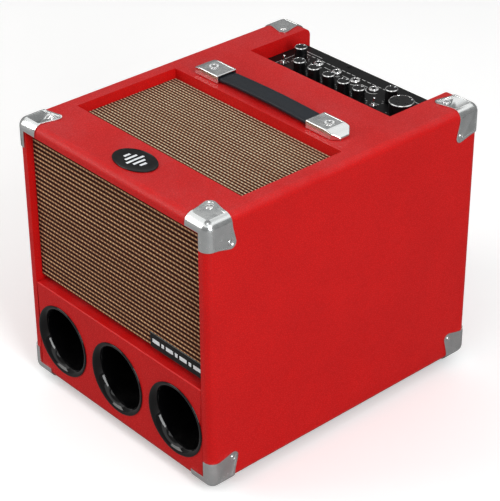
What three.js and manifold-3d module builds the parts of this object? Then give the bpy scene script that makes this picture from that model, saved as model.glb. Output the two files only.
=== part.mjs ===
// A compact bass guitar combo amplifier: a vinyl-covered plywood cabinet with two drivers behind the
// front cloth, two more under the cloth in the lid, three flared ports below, and an amplifier chassis
// in a bay at the top rear, whose controls stand in a notch of the lid.
//
// Millimetres. +X is the right-hand side seen from the front, +Y points to the rear, +Z is up.
// The origin is on the ground, under the middle of the cabinet. Needs the packages three and manifold-3d.

import * as THREE from "three";
import { RoundedBoxGeometry } from "three/addons/geometries/RoundedBoxGeometry.js";
import { mergeVertices } from "three/addons/utils/BufferGeometryUtils.js";
import Module from "manifold-3d";

// ---------------------------------------------------------------------------------------------------
// Driving dimensions
// ---------------------------------------------------------------------------------------------------

// Cabinet
const WIDTH = 340;
const DEPTH = 426;
const HEIGHT = 352; // without the feet
const EDGE_RADIUS = 10; // of the covered outer edges
const BOARD = 15; // outer plywood, with its covering
const FIT_GAP = 0.3; // glue line, or the air between two pieces that touch
const FOOT_HEIGHT = 12;
const FOOT_RADIUS = 16;
const FOOT_INSET = 52; // from a foot's centre to both outer faces beside it

// Front
const BAFFLE = 12; // thickness of the front baffle
const PORT_BOARD = 17.7; // thickness of the port panel in front of the baffle
const PORT_BOARD_HEIGHT = 132.5; // from the cabinet's underside to the ledge under the front cloth
const FRONT_CLOTH_RECESS = 9.5; // from the front edges back to the cloth
const FRONT_CLOTH_LIFT = 7.5; // gap between the ledge and the cloth frame
const CLOTH = 1.2; // thickness of the cloth
const CLOTH_CLEARANCE = 0.5; // between a cloth frame and the opening that it sits in
const FRONT_FRAME_BAR = 14;
const TOP_FRAME_BAR = 10;

// Ports
const PORT_COUNT = 3;
const PORT_LIFT = 67.5; // from the cabinet's underside to the ports' centres
const PORT_SIDE_MARGIN = 0.2; // between an outer mouth and the inner face of the side beside it
const PORT_BORE_RADIUS = 37;
const PORT_FLARE_WIDTH = 10.3; // from the bore out to the mouth's rim
const PORT_WALL = 2.4;
const PORT_FLARE = 16; // depth of the flared mouth
const PORT_LENGTH = 150;
const PORT_LIP = 1.2; // how far the mouth's lip stands out of the port panel
const PORT_LIP_OVERLAP = 1.7; // by how much the lip covers the edge of its hole
const PORT_TUBE_CLEARANCE = 1.6; // around the tube, where it passes through the baffle

// Lid: the opening over the top drivers and the notch over the controls
const TOP_OPENING_MARGIN = 24; // from each side
const TOP_OPENING_FROM_FRONT = 70;
const TOP_OPENING_DEPTH = 151;
const TOP_CLOTH_RECESS = 13;
const TOP_FRAME = 6; // thickness of the top cloth frame
const TOP_BAFFLE = 16;
const TOP_BAFFLE_REACH = 12; // how far the top baffle runs on behind the opening
const REAR_EAR = 48; // width of the lid on each side of the notch
const NOTCH_DEPTH = 103;

// Amplifier bay and chassis
const BAY_WALL = 12;
const REAR_RECESS = 9; // from the rear edges in to the rear panel
const PANEL_DROP = 20; // from the lid down to the control panel
const SHEET = 2; // steel of the chassis
const CHASSIS_HEIGHT = 98; // control panel's top to the bay's floor
const CHASSIS_CLEARANCE = 0.6; // around the chassis in its bay

// Drivers
const DRIVER_RADIUS = 67;
const DRIVER_RIM = 7; // by how much the flange overlaps the baffle around its hole
const DRIVER_FLANGE = 3.5;
const DRIVER_DEPTH = 57;
const DRIVER_SPACING = 144;
const SURROUND_WIDTH = 9.4;
const CONE_CLEARANCE = 0.6; // between the cone and its surround
const CONE_DEPTH = 20.5;
const MAGNET_RADIUS = 45;
const MAGNET_HEIGHT = 21;
const COIL_RADIUS = 14;
const COIL_GAP = 1; // air on each side of the coil former

// Controls, placed from the notch's front edge. The row and the jacks start from the cabinet's middle,
// and the others from the notch's wall on their own side.
const POT_BUSH_RADIUS = 3.9;
const POT_SHAFT_RADIUS = 2.4;
const POT_BODY = 14;
const HOLE_CLEARANCE = 0.4; // around a bush in the control panel
const KNOB_LIFT = 0.6; // air under a knob
const KNOB_HEIGHT = 18.4;
const KNOB_RADIUS = 8;
const MASTER_RADIUS = 15.5;
const KNOB_CHAMFER = 0.8;
const KNOB_HOLLOW = 7; // depth of the hollow that covers the bush
const ROW_COUNT = 5;
const ROW_PITCH = 26;
const ROW_CENTRE_X = -10;
const ROW_Y = 28;
const LEFT_KNOB = [32, 57];
const RIGHT_KNOB = [52, 56];
const MASTER_KNOB = [21, 41];
const MASTER_TURN = -29; // where the master's dot stands at rest, in degrees from straight back
const LEFT_TOGGLE = [25, 33];
const RIGHT_TOGGLE = [59, 32];
const TOGGLE_BUSH_RADIUS = 3;
const TOGGLE_BORE_RADIUS = 2.5;
const TOGGLE_LEVER_RADIUS = 1.1;
const TOGGLE_TIP_RADIUS = 1.6;
const TOGGLE_REACH = 12; // from the control panel to the lever's tip
const TOGGLE_TILT = 12; // to each side of upright, in degrees
const JACK_COUNT = 4;
const JACK_PITCH = 32.5;
const JACK_FIRST_X = -65;
const JACK_Y = 64;
const JACK_BUSH_RADIUS = 4.3;
const JACK_NUT_RADIUS = 6.4;
const JACK_BORE_RADIUS = 3.2;
const NUT_HEIGHT = 2.2;
const CIRCUIT_BOARD = 1.6;
const CIRCUIT_BOARD_DROP = 25; // from the control panel's top to the circuit board's top

// Rear of the chassis
const INLET_X = 80;
const INLET_WIDTH = 36;
const INLET_HEIGHT = 64;
const INLET_FLANGE = 2.3;
const INLET_BODY_DEPTH = 24;
const INLET_RIM = 3; // by how much the flange overlaps its cut-out
const SOCKET_WIDTH = 24;
const SOCKET_HEIGHT = 16.5;
const SOCKET_DEPTH = 15;
const ROCKER_WIDTH = 19;
const ROCKER_HEIGHT = 12.5;
const ROCKER_CLEARANCE = 0.8;
const ROCKER_TILT = 8; // to each side of level, in degrees
const HEAT_SINK_WIDTH = 120;
const HEAT_SINK_HEIGHT = 76;
const HEAT_SINK_BASE = 3;
const FIN_COUNT = 12;
const FIN_DEPTH = 5.6;
const FIN_THICKNESS = 2.2;
const TRANSFORMER_RADIUS = 34;
const TRANSFORMER_HEIGHT = 32;

// Strap handle, centred behind the top opening
const HANDLE_BEHIND_OPENING = 24;
const HANDLE_HALF_SPAN = 77; // from the middle to the mouth of an end cap
const END_CAP_LENGTH = 50;
const STRAP_SIDE_CLEARANCE = 1.1; // between the strap and each side of its cap
const END_CAP_HEIGHT = 10.5;
const END_CAP_WALL = 1.4;
const END_CAP_SCREW = 24; // from the mouth to the screw
const STRAP_WIDTH = 26;
const STRAP_THICKNESS = 5.5;
const STRAP_LIFT = 4.75; // from the lid to the strap's middle, at the end caps
const STRAP_RISE = 4; // by how much the strap arches between them
const STRAP_FOLD = 45; // from the middle to the two places where the strap bends
const STRAP_ENTRY = 3; // how far the left end reaches into its cap
const STRAP_SLIDE = 7; // how far the right end reaches in: it draws out as the strap lifts

// Trim
const CORNER_LEG = 35; // a corner cap's reach along the edges
const CORNER_TIP = 40; // and out to its rounded tips
const CORNER_TIP_RADIUS = 7;
const CORNER_LIP = 13; // width of its lips on the front or rear edges
const CORNER_SHEET = 1.5;
const CORNER_GAP = 0.3;
const BADGE_WIDTH = 64;
const BADGE_DEPTH = 43;
const BADGE_THICKNESS = 1.6;
const BADGE_FROM_FRONT = 35;
const BADGE_RIGHT = 7; // to the right of the cabinet's middle
const PLATE_WIDTH = 93;
const PLATE_HEIGHT = 20;
const PLATE_THICKNESS = 1.4;
const PLATE_MARGIN = 5; // from the right-hand end of the front cloth
const PLATE_LIFT = 0.3; // from the lower edge of the front cloth

const CORNER_SEGMENTS = 2;
const SMALL_ROUND = 8; // sides of bushes, their holes and levers
const ROUND = 12; // sides of knobs, nuts and feet
const DRIVER_ROUND = 14;
const WIDE_ROUND = 20; // sides of ports and of the drivers' holes
const FAR = 1000; // past the end of anything

// ---------------------------------------------------------------------------------------------------
// Places worked out from them
// ---------------------------------------------------------------------------------------------------

const halfWidth = WIDTH / 2;
const front = -DEPTH / 2;
const rear = DEPTH / 2;
const bottom = FOOT_HEIGHT;
const top = FOOT_HEIGHT + HEIGHT;
const insideX = halfWidth - BOARD;
const insideBottom = bottom + BOARD;
const insideTop = top - BOARD;
const boardX = insideX - FIT_GAP; // half width of a board between the two sides

const baffleFront = front + PORT_BOARD + FIT_GAP;
const baffleBack = baffleFront + BAFFLE;
const portZ = bottom + PORT_LIFT;
const tubeRadius = PORT_BORE_RADIUS + PORT_WALL;
const mouthRadius = PORT_BORE_RADIUS + PORT_FLARE_WIDTH;

const openingX = halfWidth - TOP_OPENING_MARGIN;
const openingFront = front + TOP_OPENING_FROM_FRONT;
const openingBack = openingFront + TOP_OPENING_DEPTH;
const topClothZ = top - TOP_CLOTH_RECESS;
const topBaffleBottom = insideTop - TOP_BAFFLE;

const notchX = halfWidth - REAR_EAR;
const notchFront = rear - NOTCH_DEPTH;
const rearFace = rear - REAR_RECESS;
const panelTop = top - PANEL_DROP;
const panelBottom = panelTop - SHEET;
const bayFloor = panelTop - CHASSIS_HEIGHT;
const bayX = notchX + BAY_WALL;
const bayBottom = bayFloor - BAY_WALL;
const bayFront = notchFront - BAY_WALL;
const chassisX = notchX - CHASSIS_CLEARANCE;
const chassisFront = notchFront + CHASSIS_CLEARANCE;
const chassisRear = rearFace - CHASSIS_CLEARANCE;

const frontClothBottom = bottom + PORT_BOARD_HEIGHT + FRONT_CLOTH_LIFT;
const frontClothTop = insideTop - CLOTH_CLEARANCE;
const frontClothY = front + FRONT_CLOTH_RECESS;
const frontClothX = insideX - CLOTH_CLEARANCE;
const frontDriverZ = (frontClothBottom + frontClothTop) / 2;
const topDriverY = (openingFront + openingBack) / 2;
const driverX = DRIVER_SPACING / 2;
const driverHole = DRIVER_RADIUS - DRIVER_RIM;
const coneRadius = driverHole - SURROUND_WIDTH - CONE_CLEARANCE;

const handleY = openingBack + HANDLE_BEHIND_OPENING;
const endCapWidth = STRAP_WIDTH + 2 * STRAP_SIDE_CLEARANCE + 2 * END_CAP_WALL;
const boardTop = panelTop - CIRCUIT_BOARD_DROP;

const wasm = await Module();
wasm.setup();

// ---------------------------------------------------------------------------------------------------
// Shapes
// ---------------------------------------------------------------------------------------------------

// A closed geometry as a solid that can be joined and cut.
function solid(geometry) {
  const plain = geometry.index ? geometry.toNonIndexed() : geometry.clone();
  const bare = new THREE.BufferGeometry();
  bare.setAttribute("position", plain.getAttribute("position"));
  const merged = mergeVertices(bare, 1e-3);
  return new wasm.Manifold(
    new wasm.Mesh({
      numProp: 3,
      vertProperties: merged.attributes.position.array,
      triVerts: new Uint32Array(merged.index.array),
    }),
  );
}

function geometryOf(made) {
  const { vertProperties, triVerts } = made.getMesh();
  const geometry = new THREE.BufferGeometry();
  geometry.setAttribute("position", new THREE.BufferAttribute(vertProperties, 3));
  geometry.setIndex(new THREE.BufferAttribute(triVerts, 1));
  return geometry;
}

function block(x0, x1, y0, y1, z0, z1) {
  const box = new THREE.BoxGeometry(x1 - x0, y1 - y0, z1 - z0);
  return solid(box.translate((x0 + x1) / 2, (y0 + y1) / 2, (z0 + z1) / 2));
}

// An upright cylinder from z0 to z1.
function post(x, y, radius, z0, z1, sides = ROUND) {
  const rod = new THREE.CylinderGeometry(radius, radius, z1 - z0, sides);
  return solid(rod.rotateX(Math.PI / 2).translate(x, y, (z0 + z1) / 2));
}

// A cylinder along Y, from y0 to y1.
function bar(x, z, radius, y0, y1, sides = ROUND) {
  const rod = new THREE.CylinderGeometry(radius, radius, y1 - y0, sides);
  return solid(rod.translate(x, (y0 + y1) / 2, z));
}

// A profile of [radius, height] pairs turned about Z. It starts and ends on the axis, or closes on itself.
function turned(profile, sides = ROUND) {
  const points = profile.map(([radius, height]) => new THREE.Vector2(radius, height));
  const facing = solid(new THREE.LatheGeometry(points, sides).rotateX(Math.PI / 2));
  if (facing.volume() > 0) return facing;
  return solid(new THREE.LatheGeometry(points.reverse(), sides).rotateX(Math.PI / 2));
}

// A flat outline raised along Z from z0 to z1.
function raised(shape, z0, z1, curveSegments = 8) {
  const options = { depth: z1 - z0, bevelEnabled: false, curveSegments };
  return solid(new THREE.ExtrudeGeometry(shape, options).translate(0, 0, z0));
}

// An outline drawn in X and Z, drawn out along Y from y0 to y1.
function drawnOut(shape, y0, y1, curveSegments = 8) {
  const options = { depth: y1 - y0, bevelEnabled: false, curveSegments };
  const body = new THREE.ExtrudeGeometry(shape, options).rotateX(Math.PI / 2);
  return solid(body.translate(0, y1, 0));
}

const amplifier = new THREE.Group();

function add(name, made, look, x = 0, y = 0, z = 0) {
  const mesh = new THREE.Mesh(geometryOf(made), look);
  mesh.name = name;
  mesh.position.set(x, y, z);
  amplifier.add(mesh);
  return mesh;
}

// ---------------------------------------------------------------------------------------------------
// Finishes
// ---------------------------------------------------------------------------------------------------

function finish(color, roughness, metalness = 0) {
  return new THREE.MeshStandardMaterial({ color, roughness, metalness });
}

const redVinyl = finish(0xb8191c, 0.5);
const bareBoard = finish(0x8a6a45, 0.8);
const clothTan = finish(0x8b6b4c, 0.9);
const nickel = finish(0xd6d8d9, 0.18, 1);
const strapRubber = finish(0x1c1f22, 0.5);
const glossBlack = finish(0x08090a, 0.15);
const panelBlack = finish(0x17181a, 0.45, 0.6);
const steel = finish(0x8f9396, 0.4, 1);
const knobBlack = finish(0x0d0e0f, 0.4);
const softRubber = finish(0x101010, 0.85);
const castFrame = finish(0x1a1a1c, 0.5, 0.7);
const conePaper = finish(0x2a2724, 0.9);
const finBlack = finish(0x121314, 0.5, 0.8);
const windingYellow = finish(0xb99a3c, 0.6);
const boardGreen = finish(0x1f5a38, 0.6);

// ---------------------------------------------------------------------------------------------------
// Cabinet boards: all cut from one envelope with rounded edges
// ---------------------------------------------------------------------------------------------------

const envelope = solid(
  new RoundedBoxGeometry(WIDTH, DEPTH, HEIGHT, CORNER_SEGMENTS, EDGE_RADIUS).translate(
    0,
    0,
    bottom + HEIGHT / 2,
  ),
);

function sidePanel(from, to) {
  const reach = block(from, to, front, rear, insideBottom + FIT_GAP, insideTop - FIT_GAP);
  return envelope.intersect(reach);
}

add("side_panel_left", sidePanel(-halfWidth, -insideX), redVinyl);
add("side_panel_right", sidePanel(insideX, halfWidth), redVinyl);

const floorReach = block(-halfWidth, halfWidth, front, rear, bottom, insideBottom);
add("bottom_panel", envelope.intersect(floorReach), redVinyl);

const lidReach = block(-halfWidth, halfWidth, front, rear, insideTop, top);
const lidOpening = block(-openingX, openingX, openingFront, openingBack, 0, FAR);
const lidNotch = block(-notchX, notchX, notchFront, FAR, 0, FAR);
add("top_panel", envelope.intersect(lidReach).subtract(lidOpening).subtract(lidNotch), redVinyl);

// The outer ports stand beside the sides, and the others are spaced evenly between them.
const outerPortX = insideX - PORT_SIDE_MARGIN - mouthRadius;
const portXs = Array.from(
  { length: PORT_COUNT },
  (_, n) => outerPortX * ((2 * n) / (PORT_COUNT - 1) - 1),
);

function portPanel() {
  let board = block(
    -boardX,
    boardX,
    front,
    front + PORT_BOARD,
    insideBottom + FIT_GAP,
    bottom + PORT_BOARD_HEIGHT,
  );
  const radius = mouthRadius - PORT_LIP_OVERLAP;
  for (const x of portXs) {
    board = board.subtract(bar(x, portZ, radius, front - 1, baffleFront, WIDE_ROUND));
  }
  return board;
}

add("port_panel", portPanel(), redVinyl);

function frontBaffle() {
  const low = insideBottom + FIT_GAP;
  const high = insideTop - FIT_GAP;
  let board = block(-boardX, boardX, baffleFront, baffleBack, low, high);
  const tubeHole = tubeRadius + PORT_TUBE_CLEARANCE;
  for (const x of portXs) {
    board = board.subtract(bar(x, portZ, tubeHole, front, baffleBack + 1, WIDE_ROUND));
  }
  for (const x of [-driverX, driverX]) {
    board = board.subtract(
      bar(x, frontDriverZ, driverHole, front, baffleBack + 1, WIDE_ROUND),
    );
  }
  return board;
}

add("front_baffle", frontBaffle(), bareBoard);

// The board under the lid that carries the top drivers, with a rebate for the cloth frame.
function topBaffle() {
  const back = openingBack + TOP_BAFFLE_REACH;
  let board = block(
    -boardX,
    boardX,
    baffleBack + FIT_GAP,
    back,
    topBaffleBottom,
    insideTop - FIT_GAP,
  );
  const rebate = topClothZ - TOP_FRAME - FIT_GAP;
  board = board.subtract(
    block(-openingX, openingX, openingFront, openingBack, rebate, FAR),
  );
  for (const x of [-driverX, driverX]) {
    board = board.subtract(post(x, topDriverY, driverHole, 0, FAR, WIDE_ROUND));
  }
  return board;
}

add("top_baffle", topBaffle(), bareBoard);

// The open-backed box that holds the chassis: a floor, a front wall and two side walls.
const bayOutside = block(-bayX, bayX, bayFront, rear, bayBottom, insideTop - FIT_GAP);
const bayInside = block(-notchX, notchX, notchFront, FAR, bayFloor, FAR);
add("amp_bay", bayOutside.subtract(bayInside), redVinyl);

const rearBoard = block(
  -boardX,
  boardX,
  rearFace - BOARD,
  rearFace,
  insideBottom + FIT_GAP,
  insideTop - FIT_GAP,
);
const bayCut = block(-bayX - FIT_GAP, bayX + FIT_GAP, 0, FAR, bayBottom - FIT_GAP, FAR);
add("rear_panel", rearBoard.subtract(bayCut), redVinyl);

// ---------------------------------------------------------------------------------------------------
// Cloth frames
// ---------------------------------------------------------------------------------------------------

function frontGrille() {
  const frame = block(
    -frontClothX,
    frontClothX,
    frontClothY,
    baffleFront - FIT_GAP,
    frontClothBottom,
    frontClothTop,
  );
  const window = block(
    -frontClothX + FRONT_FRAME_BAR,
    frontClothX - FRONT_FRAME_BAR,
    frontClothY + CLOTH,
    FAR,
    frontClothBottom + FRONT_FRAME_BAR,
    frontClothTop - FRONT_FRAME_BAR,
  );
  return frame.subtract(window);
}

add("front_grille", frontGrille(), clothTan);

function topGrille() {
  const x = openingX - CLOTH_CLEARANCE;
  const y0 = openingFront + CLOTH_CLEARANCE;
  const y1 = openingBack - CLOTH_CLEARANCE;
  const frame = block(-x, x, y0, y1, topClothZ - TOP_FRAME, topClothZ);
  const window = block(
    -x + TOP_FRAME_BAR,
    x - TOP_FRAME_BAR,
    y0 + TOP_FRAME_BAR,
    y1 - TOP_FRAME_BAR,
    0,
    topClothZ - CLOTH,
  );
  return frame.subtract(window);
}

add("top_grille", topGrille(), clothTan);

// ---------------------------------------------------------------------------------------------------
// Ports: flared mouths on straight tubes, turned about an axis that points out of the front
// ---------------------------------------------------------------------------------------------------

function portTube() {
  const steps = 3;
  const lipTop = FIT_GAP + PORT_LIP;
  const inside = [];
  const outside = [];
  for (let n = 0; n <= steps; n++) {
    const turn = (n / steps) * (Math.PI / 2);
    const spread = 1 - Math.sin(turn);
    const depth = PORT_FLARE * (1 - Math.cos(turn));
    inside.push([
      PORT_BORE_RADIUS + (mouthRadius - 1 - PORT_BORE_RADIUS) * spread,
      lipTop - depth,
    ]);
    outside.push([
      tubeRadius + (mouthRadius - PORT_LIP_OVERLAP - 0.4 - tubeRadius) * spread,
      FIT_GAP - depth,
    ]);
  }
  return turned(
    [
      ...inside,
      [PORT_BORE_RADIUS, -PORT_LENGTH],
      [tubeRadius, -PORT_LENGTH],
      ...outside.reverse(),
      [mouthRadius, FIT_GAP],
      [mouthRadius, lipTop - 0.6],
      inside[0],
    ],
    WIDE_ROUND,
  );
}

const tube = portTube();
const portNames = ["left", "centre", "right"];
portXs.forEach((x, n) => {
  const mesh = add(`port_tube_${portNames[n]}`, tube, glossBlack, x, front, portZ);
  mesh.rotation.x = Math.PI / 2;
});

// ---------------------------------------------------------------------------------------------------
// Drivers: turned about an axis that points out of the cabinet, with the flange's face at zero
// ---------------------------------------------------------------------------------------------------

const plateTop = -(DRIVER_DEPTH - 5 - MAGNET_HEIGHT); // front face of the magnet's top plate
const poleRadius = COIL_RADIUS - 1 - COIL_GAP;
const gapRadius = COIL_RADIUS + COIL_GAP;

function driverFrame() {
  const wall = 1.6;
  const seat = coneRadius + CONE_CLEARANCE;
  const middle = (seat + driverHole) / 2;
  const roll = 3; // height of the half roll around the cone
  let frame = turned(
    [
      [0, -DRIVER_DEPTH],
      [MAGNET_RADIUS, -DRIVER_DEPTH],
      [MAGNET_RADIUS, plateTop - 1],
      [driverHole + wall, -DRIVER_FLANGE],
      [DRIVER_RADIUS, -DRIVER_FLANGE],
      [DRIVER_RADIUS, 0],
      [driverHole - 1, 0],
      [middle, roll],
      [seat, 0],
      [seat, -1.4],
      [middle, roll - 1.8],
      [driverHole - wall, -DRIVER_FLANGE],
      [MAGNET_RADIUS - 2, plateTop],
      [gapRadius, plateTop],
      [gapRadius, -DRIVER_DEPTH + 7],
      [poleRadius, -DRIVER_DEPTH + 7],
      [poleRadius, plateTop],
      [0, plateTop],
    ],
    DRIVER_ROUND,
  );
  const windowTop = -DRIVER_FLANGE - 4;
  const windowBottom = plateTop + 5;
  for (const turn of [Math.PI / 4, -Math.PI / 4]) {
    const slot = new THREE.BoxGeometry(2 * DRIVER_RADIUS, 40, windowTop - windowBottom);
    slot.translate(0, 0, (windowTop + windowBottom) / 2).rotateZ(turn);
    frame = frame.subtract(solid(slot));
  }
  return frame;
}

// The cone with its dust cap and coil former, all in one glued piece.
function driverCone() {
  const skin = 1;
  const rim = -1.5;
  const neck = rim - CONE_DEPTH;
  const domeHeight = 5;
  const formerEnd = -DRIVER_DEPTH + 17;
  const inner = COIL_RADIUS - 1;
  const profile = [
    [0, neck + domeHeight + 4],
    [COIL_RADIUS + 1, neck + 3],
    [coneRadius, rim + skin],
    [coneRadius, rim],
    [COIL_RADIUS, neck],
    [COIL_RADIUS, formerEnd],
    [inner, formerEnd],
    [inner, neck + 1],
    [0, neck + domeHeight],
  ];
  return turned(profile, DRIVER_ROUND);
}

const frameSolid = driverFrame();
const coneSolid = driverCone();

function addDriver(name, x, y, z, facesFront) {
  const frame = add(`driver_frame_${name}`, frameSolid, castFrame, x, y, z);
  const cone = add(`driver_cone_${name}`, coneSolid, conePaper, x, y, z);
  if (facesFront) frame.rotation.x = cone.rotation.x = Math.PI / 2;
}

const frontDriverY = baffleBack + FIT_GAP;
const topDriverZ = topBaffleBottom - FIT_GAP;
addDriver("front_left", -driverX, frontDriverY, frontDriverZ, true);
addDriver("front_right", driverX, frontDriverY, frontDriverZ, true);
addDriver("top_left", -driverX, topDriverY, topDriverZ, false);
addDriver("top_right", driverX, topDriverY, topDriverZ, false);

// ---------------------------------------------------------------------------------------------------
// Control panel and what is mounted on it
// ---------------------------------------------------------------------------------------------------

const rowXs = Array.from(
  { length: ROW_COUNT },
  (_, n) => ROW_CENTRE_X + (n - (ROW_COUNT - 1) / 2) * ROW_PITCH,
);
const fromLeft = ([inwards, back]) => [inwards - notchX, notchFront + back];
const fromRight = ([inwards, back]) => [notchX - inwards, notchFront + back];
const rowPlaces = rowXs.map((x) => [x, notchFront + ROW_Y]);
const smallKnobPlaces = [fromLeft(LEFT_KNOB), ...rowPlaces, fromRight(RIGHT_KNOB)];
const masterPlace = fromRight(MASTER_KNOB);
const potPlaces = [...smallKnobPlaces, masterPlace];
const togglePlaces = [fromLeft(LEFT_TOGGLE), fromRight(RIGHT_TOGGLE)];
const jackPlaces = Array.from({ length: JACK_COUNT }, (_, n) => [
  JACK_FIRST_X + n * JACK_PITCH,
  notchFront + JACK_Y,
]);

function controlPanel() {
  let panel = block(
    -chassisX,
    chassisX,
    chassisFront,
    chassisRear,
    panelBottom,
    panelTop,
  );
  const holes = [
    [potPlaces, POT_BUSH_RADIUS],
    [togglePlaces, TOGGLE_BUSH_RADIUS],
    [jackPlaces, JACK_BUSH_RADIUS],
  ];
  for (const [places, radius] of holes) {
    for (const [x, y] of places) {
      panel = panel.subtract(post(x, y, radius + HOLE_CLEARANCE, 0, FAR, SMALL_ROUND));
    }
  }
  return panel;
}

add("control_panel", controlPanel(), panelBlack);

// The circuit board with the potentiometers and toggle switches that are soldered to it.
const underPanel = panelBottom - FIT_GAP;
const knobBottom = panelTop + KNOB_LIFT;
const shaftEnd = knobBottom - 8;
const togglePivotZ = panelTop + 1;

function controlBoard() {
  const margin = 8;
  let board = block(
    -chassisX + margin,
    chassisX - margin,
    chassisFront + margin,
    chassisRear - margin,
    boardTop - CIRCUIT_BOARD,
    boardTop,
  );
  for (const [x, y] of potPlaces) {
    const half = POT_BODY / 2;
    const bushTop = knobBottom + KNOB_HOLLOW - 1.5;
    board = board
      .add(block(x - half, x + half, y - half, y + half, boardTop - 0.5, underPanel))
      .add(post(x, y, POT_BUSH_RADIUS, boardTop, bushTop, SMALL_ROUND))
      .subtract(post(x, y, POT_SHAFT_RADIUS + 0.5, shaftEnd - 0.6, FAR, SMALL_ROUND));
  }
  for (const [x, y] of togglePlaces) {
    const bushTop = panelTop + 5;
    const nut = post(x, y, 4.6, panelTop + FIT_GAP, panelTop + NUT_HEIGHT, 6);
    board = board
      .add(block(x - 4, x + 4, y - 6.5, y + 6.5, boardTop - 0.5, underPanel))
      .add(post(x, y, TOGGLE_BUSH_RADIUS, boardTop, bushTop, SMALL_ROUND))
      .add(nut)
      .subtract(post(x, y, TOGGLE_BORE_RADIUS, togglePivotZ - 6, FAR, SMALL_ROUND));
  }
  return board;
}

add("control_board", controlBoard(), boardGreen);

// Four 6.35 mm jack sockets in one moulded block, with round nuts above the panel.
function jackBlock() {
  const [firstX, y] = jackPlaces[0];
  const [lastX] = jackPlaces[jackPlaces.length - 1];
  const overhang = 9;
  const low = boardTop + FIT_GAP;
  let made = block(firstX - overhang, lastX + overhang, y - 8, y + 8, low, underPanel);
  for (const [x] of jackPlaces) {
    made = made
      .add(post(x, y, JACK_BUSH_RADIUS, low + 1, panelTop + NUT_HEIGHT, SMALL_ROUND))
      .add(post(x, y, JACK_NUT_RADIUS, panelTop + FIT_GAP, panelTop + NUT_HEIGHT))
      .subtract(post(x, y, JACK_BORE_RADIUS, low + 3, FAR));
  }
  return made;
}

add("jack_block", jackBlock(), glossBlack);

// A turned knob: its hollow covers the bush, and its shaft goes down into the potentiometer.
function knob(radius) {
  const hollow = POT_BUSH_RADIUS + 0.7;
  const profile = [
    [0, shaftEnd - knobBottom],
    [POT_SHAFT_RADIUS, shaftEnd - knobBottom],
    [POT_SHAFT_RADIUS, KNOB_HOLLOW],
    [hollow, KNOB_HOLLOW],
    [hollow, 0],
    [radius, 0],
    [radius, KNOB_HEIGHT - KNOB_CHAMFER],
    [radius - KNOB_CHAMFER, KNOB_HEIGHT],
    [0, KNOB_HEIGHT],
  ];
  const dotY = radius - 2.6;
  const dot = block(-0.8, 0.8, dotY - 0.8, dotY + 0.8, KNOB_HEIGHT - 1, KNOB_HEIGHT + 0.15);
  return turned(profile).add(dot);
}

const smallKnob = knob(KNOB_RADIUS);
const knobNames = ["left", "row_1", "row_2", "row_3", "row_4", "row_5", "right"];
smallKnobPlaces.forEach(([x, y], n) => {
  add(`knob_${knobNames[n]}`, smallKnob, knobBlack, x, y, knobBottom);
});
const masterKnob = knob(MASTER_RADIUS);
const master = add("knob_master", masterKnob, knobBlack, ...masterPlace, knobBottom);
master.rotation.z = THREE.MathUtils.degToRad(MASTER_TURN);

// Bat levers, modelled about their pivots and tilted back at rest.
function toggleLever() {
  const reach = panelTop + TOGGLE_REACH - togglePivotZ;
  return turned(
    [
      [0, -4],
      [TOGGLE_LEVER_RADIUS, -4],
      [TOGGLE_LEVER_RADIUS, reach - 4],
      [TOGGLE_TIP_RADIUS, reach - 1],
      [0, reach],
    ],
    SMALL_ROUND,
  );
}

const lever = toggleLever();
["left", "right"].forEach((side, n) => {
  const [x, y] = togglePlaces[n];
  const mesh = add(`toggle_lever_${side}`, lever, nickel, x, y, togglePivotZ);
  mesh.rotation.x = -THREE.MathUtils.degToRad(TOGGLE_TILT);
});

// ---------------------------------------------------------------------------------------------------
// Rest of the chassis: tray, heat sink, transformer, mains inlet with its rocker switch
// ---------------------------------------------------------------------------------------------------

const trayBottom = bayFloor + FIT_GAP;
const inletZ = trayBottom + SHEET + 2 + INLET_HEIGHT / 2;
const inletX0 = INLET_X - INLET_WIDTH / 2;
const inletX1 = INLET_X + INLET_WIDTH / 2;
const inletZ0 = inletZ - INLET_HEIGHT / 2;
const inletZ1 = inletZ + INLET_HEIGHT / 2;
const socketZ = inletZ - INLET_HEIGHT / 4;
const rockerZ = inletZ + INLET_HEIGHT / 4;

function chassisTray() {
  const rearPlate = block(
    -chassisX,
    chassisX,
    chassisRear - SHEET,
    chassisRear,
    trayBottom,
    underPanel,
  );
  const floor = block(
    -chassisX,
    chassisX,
    chassisFront,
    chassisRear,
    trayBottom,
    trayBottom + SHEET,
  );
  const rim = INLET_RIM - FIT_GAP;
  const cutOut = block(
    inletX0 + rim,
    inletX1 - rim,
    chassisRear - 2 * SHEET,
    FAR,
    inletZ0 + rim,
    inletZ1 - rim,
  );
  return rearPlate.add(floor).subtract(cutOut);
}

add("chassis_tray", chassisTray(), steel);

function heatSink() {
  const x0 = inletX0 - 12 - HEAT_SINK_WIDTH;
  const x1 = x0 + HEAT_SINK_WIDTH;
  const plateMiddle = (trayBottom + underPanel) / 2;
  const z0 = plateMiddle - HEAT_SINK_HEIGHT / 2;
  const z1 = plateMiddle + HEAT_SINK_HEIGHT / 2;
  const y0 = chassisRear + FIT_GAP;
  const face = y0 + HEAT_SINK_BASE;
  let made = block(x0, x1, y0, face, z0, z1);
  const pitch = (HEAT_SINK_WIDTH - FIN_THICKNESS) / (FIN_COUNT - 1);
  for (let n = 0; n < FIN_COUNT; n++) {
    const x = x0 + n * pitch;
    made = made.add(block(x, x + FIN_THICKNESS, face - 1, face + FIN_DEPTH, z0, z1));
  }
  return made;
}

add("heat_sink", heatSink(), finBlack);

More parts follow.
